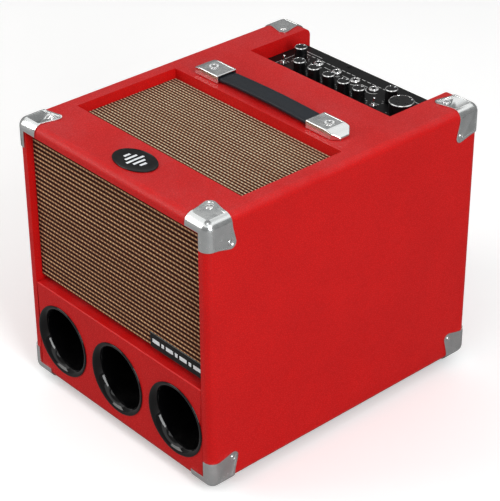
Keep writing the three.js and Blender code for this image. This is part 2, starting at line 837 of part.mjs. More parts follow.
// A toroid with its clamping disc and bolt.
function transformer() {
  const hole = TRANSFORMER_RADIUS * 0.35;
  const bevel = 6;
  const disc = 24;
  const discTop = TRANSFORMER_HEIGHT + 2;
  return turned([
    [0, 0],
    [TRANSFORMER_RADIUS - bevel, 0],
    [TRANSFORMER_RADIUS, bevel],
    [TRANSFORMER_RADIUS, TRANSFORMER_HEIGHT - bevel],
    [TRANSFORMER_RADIUS - bevel, TRANSFORMER_HEIGHT],
    [disc, TRANSFORMER_HEIGHT],
    [disc, discTop],
    [hole, TRANSFORMER_HEIGHT - 3],
    [4, TRANSFORMER_HEIGHT - 3],
    [4, discTop + 2],
    [0, discTop + 2],
  ]);
}

const transformerX = inletX0 - 22;
const transformerY = chassisFront + TRANSFORMER_RADIUS + 4;
const transformerZ = trayBottom + SHEET + FIT_GAP;
add("transformer", transformer(), windingYellow, transformerX, transformerY, transformerZ);

// Flange and body of the inlet, with a socket for the mains lead below and a seat for the rocker above.
const inletFace = chassisRear + FIT_GAP + INLET_FLANGE;
const rockerPivotY = inletFace - 1;

function mainsInlet() {
  const body = block(
    inletX0 + INLET_RIM,
    inletX1 - INLET_RIM,
    chassisRear - INLET_BODY_DEPTH,
    inletFace - 1,
    inletZ0 + INLET_RIM,
    inletZ1 - INLET_RIM,
  );
  const flange = block(
    inletX0,
    inletX1,
    chassisRear + FIT_GAP,
    inletFace,
    inletZ0,
    inletZ1,
  );
  const socket = block(
    INLET_X - SOCKET_WIDTH / 2,
    INLET_X + SOCKET_WIDTH / 2,
    inletFace - SOCKET_DEPTH,
    FAR,
    socketZ - SOCKET_HEIGHT / 2,
    socketZ + SOCKET_HEIGHT / 2,
  );
  const seat = block(
    INLET_X - ROCKER_WIDTH / 2 - ROCKER_CLEARANCE,
    INLET_X + ROCKER_WIDTH / 2 + ROCKER_CLEARANCE,
    inletFace - 9,
    FAR,
    rockerZ - ROCKER_HEIGHT / 2 - ROCKER_CLEARANCE,
    rockerZ + ROCKER_HEIGHT / 2 + ROCKER_CLEARANCE,
  );
  let made = body.add(flange).subtract(socket).subtract(seat);
  const pinSpacing = 7;
  for (const [across, up] of [
    [-pinSpacing, -2],
    [0, 2],
    [pinSpacing, -2],
  ]) {
    const x = INLET_X + across;
    const z = socketZ + up;
    const pinBack = inletFace - SOCKET_DEPTH - 1;
    made = made.add(block(x - 1, x + 1, pinBack, inletFace - 4, z - 2, z + 2));
  }
  return made;
}

add("mains_inlet", mainsInlet(), glossBlack);

// The rocker: a block whose outer face is a shallow V, modelled about its pivot and pressed to one side.
function rocker() {
  const half = ROCKER_HEIGHT / 2;
  const outline = new THREE.Shape();
  outline.moveTo(-half, -4);
  outline.lineTo(half, -4);
  outline.lineTo(half, 3.6);
  outline.lineTo(0, 2.4);
  outline.lineTo(-half, 3.6);
  outline.closePath();
  const options = { depth: ROCKER_WIDTH, bevelEnabled: false };
  const body = new THREE.ExtrudeGeometry(outline, options);
  return solid(body.translate(0, 0, -ROCKER_WIDTH / 2).rotateY(-Math.PI / 2));
}

const rockerMesh = add(
  "power_rocker",
  rocker(),
  glossBlack,
  INLET_X,
  rockerPivotY,
  rockerZ,
);
rockerMesh.rotation.x = THREE.MathUtils.degToRad(ROCKER_TILT);

// ---------------------------------------------------------------------------------------------------
// Strap handle
// ---------------------------------------------------------------------------------------------------

// A pressed end cap, open below and at its mouth, with a dished pillar for its screw.
// It is drawn with the mouth at X = 0 and the end at +X.
function endCap() {
  const half = endCapWidth / 2;
  const flat = END_CAP_LENGTH * 0.5;
  const outline = (wall) => {
    const shape = new THREE.Shape();
    const end = END_CAP_LENGTH - wall;
    const low = wall ? -1 : 0;
    const mouth = wall ? -1 : 0;
    shape.moveTo(mouth, low);
    shape.lineTo(end, low);
    shape.lineTo(end, 3 - wall);
    shape.quadraticCurveTo(
      END_CAP_LENGTH * 0.85,
      END_CAP_HEIGHT - wall,
      flat,
      END_CAP_HEIGHT - wall,
    );
    shape.lineTo(mouth, END_CAP_HEIGHT - wall);
    shape.closePath();
    return shape;
  };
  const plan = new THREE.Shape();
  const corner = 6;
  plan.moveTo(-1, -half);
  plan.lineTo(END_CAP_LENGTH - corner, -half);
  plan.absarc(END_CAP_LENGTH - corner, -half + corner, corner, -Math.PI / 2, 0);
  plan.absarc(END_CAP_LENGTH - corner, half - corner, corner, 0, Math.PI / 2);
  plan.lineTo(-1, half);
  plan.closePath();
  const outside = drawnOut(outline(0), -half, half, 6).intersect(raised(plan, -1, FAR, 4));
  const inside = drawnOut(outline(END_CAP_WALL), -half + END_CAP_WALL, half - END_CAP_WALL, 6);
  const pillar = post(END_CAP_SCREW, 0, 8.6, 0, END_CAP_HEIGHT - END_CAP_WALL / 2);
  const dish = turned([
    [0, END_CAP_HEIGHT - 1.8],
    [5, END_CAP_HEIGHT - 1.8],
    [7.4, END_CAP_HEIGHT + 0.5],
    [0, END_CAP_HEIGHT + 0.5],
  ]).translate(END_CAP_SCREW, 0, 0);
  return outside.subtract(inside).add(pillar).subtract(dish);
}

const endCapSolid = endCap();
const endCapZ = top + FIT_GAP;
const leftCap = add(
  "handle_end_left",
  endCapSolid,
  nickel,
  -HANDLE_HALF_SPAN,
  handleY,
  endCapZ,
);
leftCap.rotation.z = Math.PI;
add("handle_end_right", endCapSolid, nickel, HANDLE_HALF_SPAN, handleY, endCapZ);

// Height of the strap's middle above the ground, at a distance from the handle's centre.
const strapEnd = HANDLE_HALF_SPAN + STRAP_ENTRY;
function strapZ(x) {
  const share = Math.min(1, Math.abs(x) / strapEnd);
  return top + STRAP_LIFT + STRAP_RISE * (1 - share * share);
}

// One length of the strap, which is split where it bends.
function strapLength(x0, x1) {
  const steps = 6;
  const outline = new THREE.Shape();
  for (let n = 0; n <= steps; n++) {
    const x = x0 + ((x1 - x0) * n) / steps;
    if (n === 0) outline.moveTo(x, strapZ(x) - STRAP_THICKNESS / 2);
    else outline.lineTo(x, strapZ(x) - STRAP_THICKNESS / 2);
  }
  for (let n = steps; n >= 0; n--) {
    const x = x0 + ((x1 - x0) * n) / steps;
    outline.lineTo(x, strapZ(x) + STRAP_THICKNESS / 2);
  }
  outline.closePath();
  return drawnOut(outline, handleY - STRAP_WIDTH / 2, handleY + STRAP_WIDTH / 2);
}

const foldGap = 2;
const slidingEnd = HANDLE_HALF_SPAN + STRAP_SLIDE;
add("strap_left", strapLength(-strapEnd, -STRAP_FOLD - foldGap / 2), strapRubber);
add(
  "strap_centre",
  strapLength(-STRAP_FOLD + foldGap / 2, STRAP_FOLD - foldGap / 2),
  strapRubber,
);
add("strap_right", strapLength(STRAP_FOLD + foldGap / 2, slidingEnd), strapRubber);

// ---------------------------------------------------------------------------------------------------
// Corner caps: drawn for the corner at the origin of a cabinet that fills +X, +Y and +Z
// ---------------------------------------------------------------------------------------------------

// A leg's outline: square to the edges, a little wider towards its rounded tip.
function legOutline() {
  const low = -CORNER_SHEET - 1;
  const tip = CORNER_TIP - CORNER_TIP_RADIUS;
  const shape = new THREE.Shape();
  shape.moveTo(low, low);
  shape.lineTo(CORNER_LEG, low);
  shape.lineTo(CORNER_LEG, EDGE_RADIUS);
  shape.lineTo(CORNER_TIP, tip);
  shape.absarc(tip, tip, CORNER_TIP_RADIUS, 0, Math.PI / 2);
  shape.lineTo(EDGE_RADIUS, CORNER_LEG);
  shape.lineTo(low, CORNER_LEG);
  shape.closePath();
  return shape;
}

function cornerCap() {
  const size = 3 * CORNER_TIP;
  const shellBox = (offset) => {
    const box = new RoundedBoxGeometry(
      size,
      size,
      size,
      CORNER_SEGMENTS,
      EDGE_RADIUS + offset,
    );
    const middle = size / 2 - offset;
    return solid(box.translate(middle, middle, middle));
  };
  const shell = shellBox(CORNER_SHEET).subtract(shellBox(CORNER_GAP));
  const reach = EDGE_RADIUS + 2; // how far each leg's own slab goes round the edge
  const low = -CORNER_SHEET - 1;
  const topLeg = raised(legOutline(), low, reach, 3);
  const standing = new THREE.Matrix4().set(0, 0, 1, 0, 1, 0, 0, 0, 0, 1, 0, 0, 0, 0, 0, 1);
  const sideLeg = topLeg.transform(standing.toArray());
  const lip = block(low, CORNER_LEG, low, reach, low, CORNER_LIP).add(
    block(low, CORNER_LIP, low, reach, low, CORNER_LEG),
  );
  return shell.intersect(topLeg.add(sideLeg).add(lip));
}

const cornerSolid = cornerCap();
for (const [level, sideZ] of [
  ["bottom", 1],
  ["top", -1],
]) {
  for (const [end, sideY] of [
    ["front", 1],
    ["rear", -1],
  ]) {
    for (const [side, sideX] of [
      ["left", 1],
      ["right", -1],
    ]) {
      const x = -sideX * halfWidth;
      const y = -sideY * rear;
      const z = sideZ > 0 ? bottom : top;
      const mesh = add(`corner_${level}_${end}_${side}`, cornerSolid, nickel, x, y, z);
      mesh.scale.set(sideX, sideY, sideZ);
    }
  }
}

// ---------------------------------------------------------------------------------------------------
// Feet, badge and plate
// ---------------------------------------------------------------------------------------------------

const footSolid = turned([
  [0, 5],
  [4, 5],
  [5, 0],
  [FOOT_RADIUS - 3, 0],
  [FOOT_RADIUS - 1.5, 1.2],
  [FOOT_RADIUS, FOOT_HEIGHT - FIT_GAP],
  [0, FOOT_HEIGHT - FIT_GAP],
]);
for (const [end, sideY] of [
  ["front", -1],
  ["rear", 1],
]) {
  for (const [side, sideX] of [
    ["left", -1],
    ["right", 1],
  ]) {
    const x = sideX * (halfWidth - FOOT_INSET);
    const y = sideY * (rear - FOOT_INSET);
    add(`foot_${end}_${side}`, footSolid, softRubber, x, y, 0);
  }
}

const oval = new THREE.Shape();
oval.absellipse(0, 0, BADGE_WIDTH / 2, BADGE_DEPTH / 2, 0, 2 * Math.PI);
const badgeZ = top + FIT_GAP;
const badgeSolid = raised(oval, 0, BADGE_THICKNESS, 24);
add("oval_badge", badgeSolid, glossBlack, BADGE_RIGHT, front + BADGE_FROM_FRONT, badgeZ);

const plateX = frontClothX - PLATE_MARGIN - PLATE_WIDTH;
const plateZ = frontClothBottom + PLATE_LIFT;
const plateY = frontClothY - FIT_GAP - PLATE_THICKNESS;
const plateSolid = block(0, PLATE_WIDTH, 0, PLATE_THICKNESS, 0, PLATE_HEIGHT);
add("grille_plate", plateSolid, glossBlack, plateX, plateY, plateZ);

export default amplifier;
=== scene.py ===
"""A compact red combo amplifier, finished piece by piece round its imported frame. Metres, Z up."""

import math

import bmesh
import bpy
from mathutils import Matrix, Vector


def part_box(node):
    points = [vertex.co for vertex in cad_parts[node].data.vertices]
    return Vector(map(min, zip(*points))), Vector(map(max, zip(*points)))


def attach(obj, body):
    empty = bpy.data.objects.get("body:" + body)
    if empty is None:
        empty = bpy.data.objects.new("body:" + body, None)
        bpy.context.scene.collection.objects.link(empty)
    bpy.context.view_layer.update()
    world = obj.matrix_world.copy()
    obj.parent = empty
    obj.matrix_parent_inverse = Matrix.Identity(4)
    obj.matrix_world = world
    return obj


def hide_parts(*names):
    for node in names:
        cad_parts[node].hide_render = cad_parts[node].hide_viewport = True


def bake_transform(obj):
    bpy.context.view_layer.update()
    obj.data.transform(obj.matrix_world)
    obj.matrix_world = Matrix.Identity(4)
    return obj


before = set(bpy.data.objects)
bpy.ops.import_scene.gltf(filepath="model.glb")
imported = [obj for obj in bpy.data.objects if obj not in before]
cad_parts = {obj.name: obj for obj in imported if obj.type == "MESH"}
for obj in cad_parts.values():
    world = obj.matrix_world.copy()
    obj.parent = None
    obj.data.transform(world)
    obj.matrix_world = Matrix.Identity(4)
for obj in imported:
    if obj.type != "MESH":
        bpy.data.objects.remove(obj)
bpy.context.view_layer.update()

# ---------------------------------------------------------------------------------------------------
# Camera, light and floor
# The amplifier stands on a pale studio floor between three soft light panels, in a pale room.
# The camera stands off its front right-hand corner and looks down on the lid.
# ---------------------------------------------------------------------------------------------------

scene = bpy.context.scene
scene.view_settings.view_transform = "Standard"

camera_azimuth = math.radians(48.29)
camera_elevation = math.radians(31.30)
camera_roll = math.radians(-0.27)
camera_place = Vector((1.4294, -1.2748, 1.3357))
camera_lens = 131.1
light_target = Vector((0, 0, 0.18))
floor_half = 6.0
floor_z = -0.0005


def node(tree, kind, sockets=None, **settings):
    """Adds a node. Each of sockets is a value, or another node's output to link to it."""
    made = tree.nodes.new("ShaderNode" + kind)
    for name, value in settings.items():
        setattr(made, name, value)
    for name, value in (sockets or {}).items():
        if isinstance(value, bpy.types.NodeSocket):
            tree.links.new(value, made.inputs[name])
        else:
            made.inputs[name].default_value = value
    return made


def maths(tree, operation, *values):
    """The output of a Math node."""
    return node(tree, "Math", dict(enumerate(values)), operation=operation).outputs[0]


def spread(tree, value, low, high, to_low=0.0, to_high=1.0, smooth=True):
    """Carries a value from one range to another, and stops at its ends."""
    sockets = {"Value": value, "From Min": low, "From Max": high, "To Min": to_low, "To Max": to_high}
    kind = "SMOOTHSTEP" if smooth else "LINEAR"
    return node(tree, "MapRange", sockets, interpolation_type=kind).outputs["Result"]


def blended(tree, share, first, second):
    """A colour part of the way from the first to the second."""
    return node(tree, "Mix", {"Factor": share, 6: first, 7: second}, data_type="RGBA").outputs[2]


def paint(red, green, blue):
    """A colour given as display values from 0 to 255, for a socket."""
    shares = [part / 255 for part in (red, green, blue)]
    curve = [s / 12.92 if s <= 0.04045 else ((s + 0.055) / 1.055) ** 2.4 for s in shares]
    return (*curve, 1.0)


def show(name, data):
    """A mesh, a light or a camera as an object in the scene."""
    made = bpy.data.objects.new(name, data)
    scene.collection.objects.link(made)
    return made


backward = Vector(
    (
        math.sin(camera_azimuth) * math.cos(camera_elevation),
        -math.cos(camera_azimuth) * math.cos(camera_elevation),
        math.sin(camera_elevation),
    )
)
level = Vector((math.cos(camera_azimuth), math.sin(camera_azimuth), 0))
upright = backward.cross(level)
across = math.cos(camera_roll) * level + math.sin(camera_roll) * upright
above = math.cos(camera_roll) * upright - math.sin(camera_roll) * level
camera = show("camera", bpy.data.cameras.new("camera"))
camera.data.lens = camera_lens
camera_turn = Matrix((across, above, backward)).transposed().to_4x4()
camera.matrix_world = Matrix.Translation(camera_place) @ camera_turn
scene.camera = camera


def soft_light(name, place, width, height, power, tint):
    """A light panel that faces the amplifier."""
    made = show(name, bpy.data.lights.new(name, "AREA"))
    made.data.shape = "RECTANGLE"
    made.data.size = width
    made.data.size_y = height
    made.data.energy = power
    made.data.color = tint
    made.location = place
    made.rotation_euler = (light_target - Vector(place)).to_track_quat("-Z", "Y").to_euler()


soft_light("light_overhead", (0.5, -0.5, 2.4), 0.8, 0.8, 3, (1.0, 1.0, 1.0))
soft_light("light_front", (-1.7, -2.1, 1.3), 1.5, 1.5, 30, (1.0, 0.98, 0.96))
soft_light("light_side", (2.6, -0.75, 1.5), 1.0, 2.2, 60, (0.98, 0.99, 1.0))

room = bpy.data.worlds.new("pale_room")
room.use_nodes = True
scene.world = room
sky = room.node_tree
direction = node(sky, "TexCoord").outputs["Generated"]
height_share = node(sky, "SeparateXYZ", {"Vector": direction}).outputs["Z"]
# Bright screens stand all round above the lid's height, and the room is dim below and over them.
from_below = spread(sky, height_share, 0.52, 0.60, 0.24, 1.08)
brightness = spread(sky, height_share, 0.80, 0.88, from_below, 0.24)
seen_directly = node(sky, "LightPath").outputs["Is Camera Ray"]
strength = node(sky, "Mix", {"Factor": seen_directly, "A": brightness, "B": 1.0}).outputs["Result"]
sky.links.new(strength, sky.nodes["Background"].inputs["Strength"])
sky.nodes["Background"].inputs["Color"].default_value = (1.0, 1.0, 1.0, 1.0)


def new_material(name, roughness, metallic=0.0):
    """A material with its tree and its Principled shader."""
    made = bpy.data.materials.new(name)
    made.use_nodes = True
    shader = made.node_tree.nodes["Principled BSDF"]
    shader.inputs["Roughness"].default_value = roughness
    shader.inputs["Metallic"].default_value = metallic
    return made, made.node_tree, shader


floor_mesh = bpy.data.meshes.new("floor")
floor_signs = [(-1, -1), (1, -1), (1, 1), (-1, 1)]
floor_points = [(x * floor_half, y * floor_half, floor_z) for x, y in floor_signs]
floor_mesh.from_pydata(floor_points, [], [(0, 1, 2, 3)])
floor_paper, tree, shader = new_material("floor_paper", 0.8)
fibres = node(tree, "TexNoise", {"Scale": 40.0, "Detail": 4.0})
tone = blended(tree, fibres.outputs["Fac"], paint(246, 246, 246), paint(252, 252, 251))
# The paper is darker to the amplifier than to the camera, as when flags stand round a set.
seen_directly = node(tree, "LightPath").outputs["Is Camera Ray"]
tree.links.new(blended(tree, seen_directly, paint(142, 142, 142), tone), shader.inputs["Base Color"])
shader.inputs["Emission Color"].default_value = (1.0, 1.0, 1.0, 1.0)
tree.links.new(maths(tree, "MULTIPLY", seen_directly, 0.2), shader.inputs["Emission Strength"])
floor_mesh.materials.append(floor_paper)
show("floor", floor_mesh)

# ---------------------------------------------------------------------------------------------------
# Cabinet
# Plywood boards glued into a box and wrapped in one red vinyl, which turns over every rounded edge.
# The lid has an opening over its drivers and a notch over the controls. Under the notch a smaller
# box, open to the rear, is glued in for the amplifier.
# ---------------------------------------------------------------------------------------------------


def corners(name):
    """The low and high corners of one of the frame's nodes, to the nearest 0.01 mm."""
    return [tuple(round(value, 5) for value in corner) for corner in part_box(name)]


cabinet_low = Vector(corners("bottom_panel")[0])
cabinet_high = Vector(corners("top_panel")[1])
cabinet_edge = 0.010
board = 0.015
inner_x = 0.155
lid_opening_x = 0.146
lid_opening_y = (-0.143, 0.008)
(bay_left, bay_front, bay_bottom), (bay_x, _, _) = corners("amp_bay")
bay_wall = 0.012
bay_top = 0.355  # inside the lid's thickness, where it is glued
bay_floor = bay_bottom + bay_wall
notch_x = bay_x - bay_wall
notch_front = bay_front + bay_wall
rear_face = corners("rear_panel")[1][1]
port_panel_back = corners("port_panel")[1][1]
wrap_radius = 0.0016  # of the vinyl over the boards' inner edges
wrap_angle = 55  # degrees, above which an edge of the boards is wrapped round
beyond = 0.05  # by how much a cutter passes the face that it cuts


def from_faces(name, points, faces):
    """An object from points and faces, with its faces turned outward."""
    mesh = bpy.data.meshes.new(name)
    mesh.from_pydata(points, [], faces)
    work = bmesh.new()
    work.from_mesh(mesh)
    bmesh.ops.recalc_face_normals(work, faces=work.faces)
    work.to_mesh(mesh)
    work.free()
    return show(name, mesh)


def block(name, low, high, radius=0.0, segments=4):
    """A box from its low corner to its high one, with rounded edges."""
    low, high = Vector(low), Vector(high)
    place = Matrix.Translation((low + high) / 2) @ Matrix.Diagonal((*(high - low), 1))
    work = bmesh.new()
    bmesh.ops.create_cube(work, size=1, matrix=place)
    if radius:
        edges = work.edges[:]
        bmesh.ops.bevel(work, geom=edges, offset=radius, segments=segments, profile=0.5, affect="EDGES")
    mesh = bpy.data.meshes.new(name)
    work.to_mesh(mesh)
    work.free()
    return show(name, mesh)


def settle(shape):
    """Makes a shape's modifiers part of its mesh."""
    depsgraph = bpy.context.evaluated_depsgraph_get()
    settled = bpy.data.meshes.new_from_object(shape.evaluated_get(depsgraph))
    shape.modifiers.clear()
    shape.data = settled
    return shape


def combine(shape, other, operation):
    """Cuts the other out of a shape, or joins it, or keeps what they share. The other is used up."""
    modifier = shape.modifiers.new("combine", "BOOLEAN")
    modifier.operation = operation
    modifier.object = other
    modifier.solver = "EXACT"
    settle(shape)
    bpy.data.objects.remove(other)
    return shape


def cut(shape, *others):
    """Cuts the others out of a shape."""
    for other in others:
        combine(shape, other, "DIFFERENCE")
    return shape


def join(shape, *others):
    """Makes a shape and the others one solid."""
    for other in others:
        combine(shape, other, "UNION")
    return shape


def ease(shape, width, segments, angle):
    """Rounds the edges that are sharper than the angle, with a modifier that stays."""
    modifier = shape.modifiers.new("eased_edges", "BEVEL")
    modifier.width = width
    modifier.segments = segments
    modifier.limit_method = "ANGLE"
    modifier.angle_limit = math.radians(angle)


def soften(shape, width, segments=2, angle=40):
    """Rounds the edges that are sharper than the angle, for good."""
    ease(shape, width, segments, angle)
    return settle(shape)


def smooth(shape, angle=35):
    """Smooth faces, with a crease at the edges sharper than the angle, leaning to the wide faces."""
    shape.data.polygons.foreach_set("use_smooth", [True] * len(shape.data.polygons))
    shape.data.set_sharp_from_angle(angle=math.radians(angle))
    modifier = shape.modifiers.new("wide_faces_first", "WEIGHTED_NORMAL")
    modifier.keep_sharp = True
    modifier.weight = 60
    return settle(shape)


def fit(shape, material, body, slot, *nodes):
    """Gives a finished shape its material and body, in place of the frame's own nodes."""
    shape.data.materials.clear()
    shape.data.materials.append(material)
    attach(shape, body)
    if nodes:
        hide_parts(*nodes)
    return shape


def effect(name, inputs, outputs):
    """A new group of nodes with named inputs and outputs, and its two ends."""
    tree = bpy.data.node_groups.new(name, "ShaderNodeTree")
    for label, value in inputs.items():
        kind = "NodeSocketVector" if isinstance(value, tuple) else "NodeSocketFloat"
        tree.interface.new_socket(label, in_out="INPUT", socket_type=kind).default_value = value
    for label in outputs:
        tree.interface.new_socket(label, in_out="OUTPUT", socket_type="NodeSocketFloat")
    entry = tree.nodes.new("NodeGroupInput")
    leave = tree.nodes.new("NodeGroupOutput")
    return tree, entry.outputs, leave.inputs


def place(tree, group, **values):
    """Puts an effect in a material with its own values, and returns its outputs."""
    made = node(tree, "Group", node_tree=group)
    for name, value in values.items():
        socket = made.inputs[name.capitalize()]
        if isinstance(value, bpy.types.NodeSocket):
            tree.links.new(value, socket)
        else:
            socket.default_value = value
    return made.outputs


def surface(tree):
    """The point of the piece that is being shaded, in metres."""
    return node(tree, "TexCoord").outputs["Object"]


def noise(tree, scale, detail, **more):
    """Cloudy values from 0 to 1 over a piece."""
    sockets = {"Vector": surface(tree), "Scale": scale, "Detail": detail, **more}
    return node(tree, "TexNoise", sockets).outputs["Fac"]


def bump(tree, shader, height, depth, strength):
    """Raises the surface by a height between 0 and 1 times the depth."""
    made = node(tree, "Bump", {"Height": height, "Distance": depth, "Strength": strength})
    tree.links.new(made.outputs["Normal"], shader.inputs["Normal"])


# Pressed leather grain: pebbles between creases, and the finer skin on each pebble.
leather_grain, given, out = effect("leather_grain", {"Pebble": 0.0016}, ["Height", "Crease"])
tree = leather_grain
where = surface(tree)
drift = node(tree, "TexNoise", {"Vector": where, "Scale": 420.0, "Detail": 2.0})
push = node(tree, "VectorMath", {0: drift.outputs["Color"], 1: (0.5, 0.5, 0.5)}, operation="SUBTRACT")
push = node(tree, "VectorMath", {0: push.outputs[0], "Scale": 0.0011}, operation="SCALE")
pushed = node(tree, "VectorMath", {0: where, 1: push.outputs[0]}, operation="ADD").outputs[0]
per_metre = maths(tree, "DIVIDE", 1.0, given["Pebble"])
pebbles = node(tree, "TexVoronoi", {"Vector": pushed, "Scale": per_metre}, feature="DISTANCE_TO_EDGE")
rise = spread(tree, pebbles.outputs["Distance"], 0.0, 0.34)
skin = maths(tree, "MULTIPLY", noise(tree, 2600.0, 2.0), 0.15)
rolls = maths(tree, "MULTIPLY", noise(tree, 190.0, 2.0), 0.9)
height = maths(tree, "ADD", maths(tree, "MULTIPLY", rise, 0.6), skin)
tree.links.new(maths(tree, "ADD", height, rolls), out["Height"])
tree.links.new(maths(tree, "SUBTRACT", 1.0, rise), out["Crease"])

# Uneven tone: broad cloudy patches and small ones, from 0 to 1.
mottle, given, out = effect("mottle", {"Patch": 0.05}, ["Tone"])
tree = mottle
per_metre = maths(tree, "DIVIDE", 1.0, given["Patch"])
clouds = noise(tree, per_metre, 5.0, Roughness=0.6)
tree.links.new(spread(tree, clouds, 0.3, 0.7), out["Tone"])

# Wear: a broken line along the edges that hands and floors rub, from 0 to 1.
edge_wear, given, out = effect("edge_wear", {"Width": 0.002, "Patch": 0.006}, ["Mask"])
tree = edge_wear
rounded = node(tree, "Bevel", {"Radius": given["Width"]}, samples=4).outputs["Normal"]
straight = node(tree, "NewGeometry").outputs["Normal"]
both = {0: rounded, 1: straight}
agreement = node(tree, "VectorMath", both, operation="DOT_PRODUCT").outputs["Value"]
edge = spread(tree, agreement, 0.995, 0.86)
per_metre = maths(tree, "DIVIDE", 1.0, given["Patch"])
kept = spread(tree, noise(tree, per_metre, 4.0, Roughness=0.7), 0.38, 0.62)
tree.links.new(maths(tree, "MULTIPLY", edge, kept), out["Mask"])

# Dust and painted sheen: a thin patchy film on the faces that look up, from 0 to 1. On the red
# vinyl it is painted sheen, whitening the lid as reflected light would; on the other finishes, dust.
dust_and_sheen_film, given, out = effect("dust_and_sheen_film", {"Patch": 0.03}, ["Mask"])
tree = dust_and_sheen_film
facing = node(tree, "SeparateXYZ", {"Vector": node(tree, "NewGeometry").outputs["Normal"]}).outputs["Z"]
per_metre = maths(tree, "DIVIDE", 1.0, given["Patch"])
film = spread(tree, noise(tree, per_metre, 6.0, Roughness=0.7), 0.35, 0.75)
specks = spread(tree, noise(tree, 1400.0, 1.0), 0.4, 0.7)
thick = maths(tree, "MULTIPLY", film, specks)
tree.links.new(maths(tree, "MULTIPLY", spread(tree, facing, 0.2, 0.95), thick), out["Mask"])


red_vinyl, tree, shader = new_material("red_vinyl", 0.42)
grain = place(tree, leather_grain, pebble=0.0026)
tone = place(tree, mottle, patch=0.07)["Tone"]
colour = blended(tree, tone, paint(204, 10, 10), paint(212, 13, 12))
# Painted shade: the red is darkened down in the grain's creases.
colour = blended(tree, maths(tree, "MULTIPLY", grain["Crease"], 0.3), colour, paint(150, 4, 6))
# Painted sheen: the faces that look up get a pale pink film, lighter as a reflection of the light would be.
dust_and_sheen = place(tree, dust_and_sheen_film, patch=0.05)["Mask"]
colour = blended(tree, maths(tree, "MULTIPLY", dust_and_sheen, 0.12), colour, paint(206, 170, 176))
tree.links.new(colour, shader.inputs["Base Color"])
tree.links.new(spread(tree, grain["Crease"], 0.0, 1.0, 0.34, 0.5), shader.inputs["Roughness"])
shader.inputs["Specular IOR Level"].default_value = 0.3
bump(tree, shader, grain["Height"], 0.0006, 0.35)

cabinet = block("cabinet_shell", cabinet_low, cabinet_high, cabinet_edge, 8)
tunnel = block(
    "tunnel",
    (-inner_x, cabinet_low.y - beyond, cabinet_low.z + board),
    (inner_x, cabinet_high.y + beyond, cabinet_high.z - board),
)
lid_opening = block(
    "lid_opening",
    (-lid_opening_x, lid_opening_y[0], 0.30),
    (lid_opening_x, lid_opening_y[1], cabinet_high.z + beyond),
)
under_ports = block("under_ports", (-inner_x, -0.3, -0.05), (inner_x, port_panel_back + 0.0003, 0.1))
cut(cabinet, tunnel, lid_opening, under_ports)
join(cabinet, block("bay", (bay_left, bay_front, bay_bottom), (bay_x, cabinet_high.y, bay_top)))
notch = block("notch", (-notch_x, notch_front, bay_floor), (notch_x, 0.3, 0.4))
cut(cabinet, notch)
soften(cabinet, wrap_radius, 4, wrap_angle)
cabinet_nodes = ("side_panel_left", "side_panel_right", "top_panel", "bottom_panel", "amp_bay")
fit(smooth(cabinet, 50), red_vinyl, "root", "red_vinyl", *cabinet_nodes)

# ---------------------------------------------------------------------------------------------------
# Port panel
# A thick board between the sides, in the same vinyl, whose foot is rounded with the cabinet's. Its
# top is a ledge under the front cloth, and it has three round holes for the ports.
# ---------------------------------------------------------------------------------------------------


def middle(name):
    """The middle of one of the frame's nodes, to the nearest 0.01 mm."""
    return tuple(round((low + high) / 2, 5) for low, high in zip(*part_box(name)))


port_places = {side: middle(f"port_tube_{side}") for side in ("left", "centre", "right")}
port_hole = 0.0456
port_panel_x, _, port_panel_top = corners("port_panel")[1]
front_to_up = Matrix.Rotation(math.pi / 2, 4, "X")  # turns a piece made facing up to face the front


def turned(name, profile, sides=64):
    """A piece turned on a lathe about Z, from its outline of (radius, height) points."""
    points, faces, rings = [], [], []
    for radius, height in profile:
        if radius < 1e-7:
            rings.append([len(points)] * sides)
            points.append((0.0, 0.0, height))
            continue
        rings.append(list(range(len(points), len(points) + sides)))
        for n in range(sides):
            angle = 2 * math.pi * n / sides
            points.append((radius * math.cos(angle), radius * math.sin(angle), height))
    closed = profile[0][0] > 1e-7 and profile[-1][0] > 1e-7
    pairs = list(zip(rings, rings[1:])) + ([(rings[-1], rings[0])] if closed else [])
    for low, high in pairs:
        for n in range(sides):
            after = (n + 1) % sides
            face = list(dict.fromkeys([low[n], low[after], high[after], high[n]]))
            if len(face) > 2:
                faces.append(face)
    return from_faces(name, points, faces)


def drum(name, radius, low, high, sides=64):
    """A plain round cutter or plug about Z."""
    return turned(name, [(0, low), (radius, low), (radius, high), (0, high)], sides)


def moved(shape, *matrices):
    """Carries a shape's mesh through one or more matrices, the last one first."""
    whole = Matrix.Identity(4)
    for matrix in matrices:
        whole = whole @ matrix
    shape.data.transform(whole)
    if whole.determinant() < 0:
        shape.data.flip_normals()
    shape.data.update()
    return shape


def at(x, y, z):
    """A move to a place."""
    return Matrix.Translation((x, y, z))


port_panel = block("port_panel_board", cabinet_low, cabinet_high, cabinet_edge, 8)
between_high = (port_panel_x, port_panel_back, port_panel_top)
between_sides = block("between_sides", (-port_panel_x, -0.3, -0.1), between_high)
combine(port_panel, between_sides, "INTERSECT")
for x, _, z in port_places.values():
    hole = drum("hole", port_hole, -beyond, beyond)
    cut(port_panel, moved(hole, at(x, -0.205, z), front_to_up))
soften(port_panel, wrap_radius, 4, wrap_angle)
fit(smooth(port_panel, 50), red_vinyl, "root", "red_vinyl", "port_panel")

# ---------------------------------------------------------------------------------------------------
# Ports
# Three moulded tubes with flared mouths, in glossy black plastic. Each is pushed through its hole
# until the lip of its mouth lies on the vinyl.
# ---------------------------------------------------------------------------------------------------

port_bore = 0.0370
port_mouth = 0.0473
port_wall = 0.0024
port_flare = 0.016
port_length = 0.150
port_lip = 0.0015  # from the port panel's face out to the lip's crest
port_edge = 0.0008
flare_steps = 14

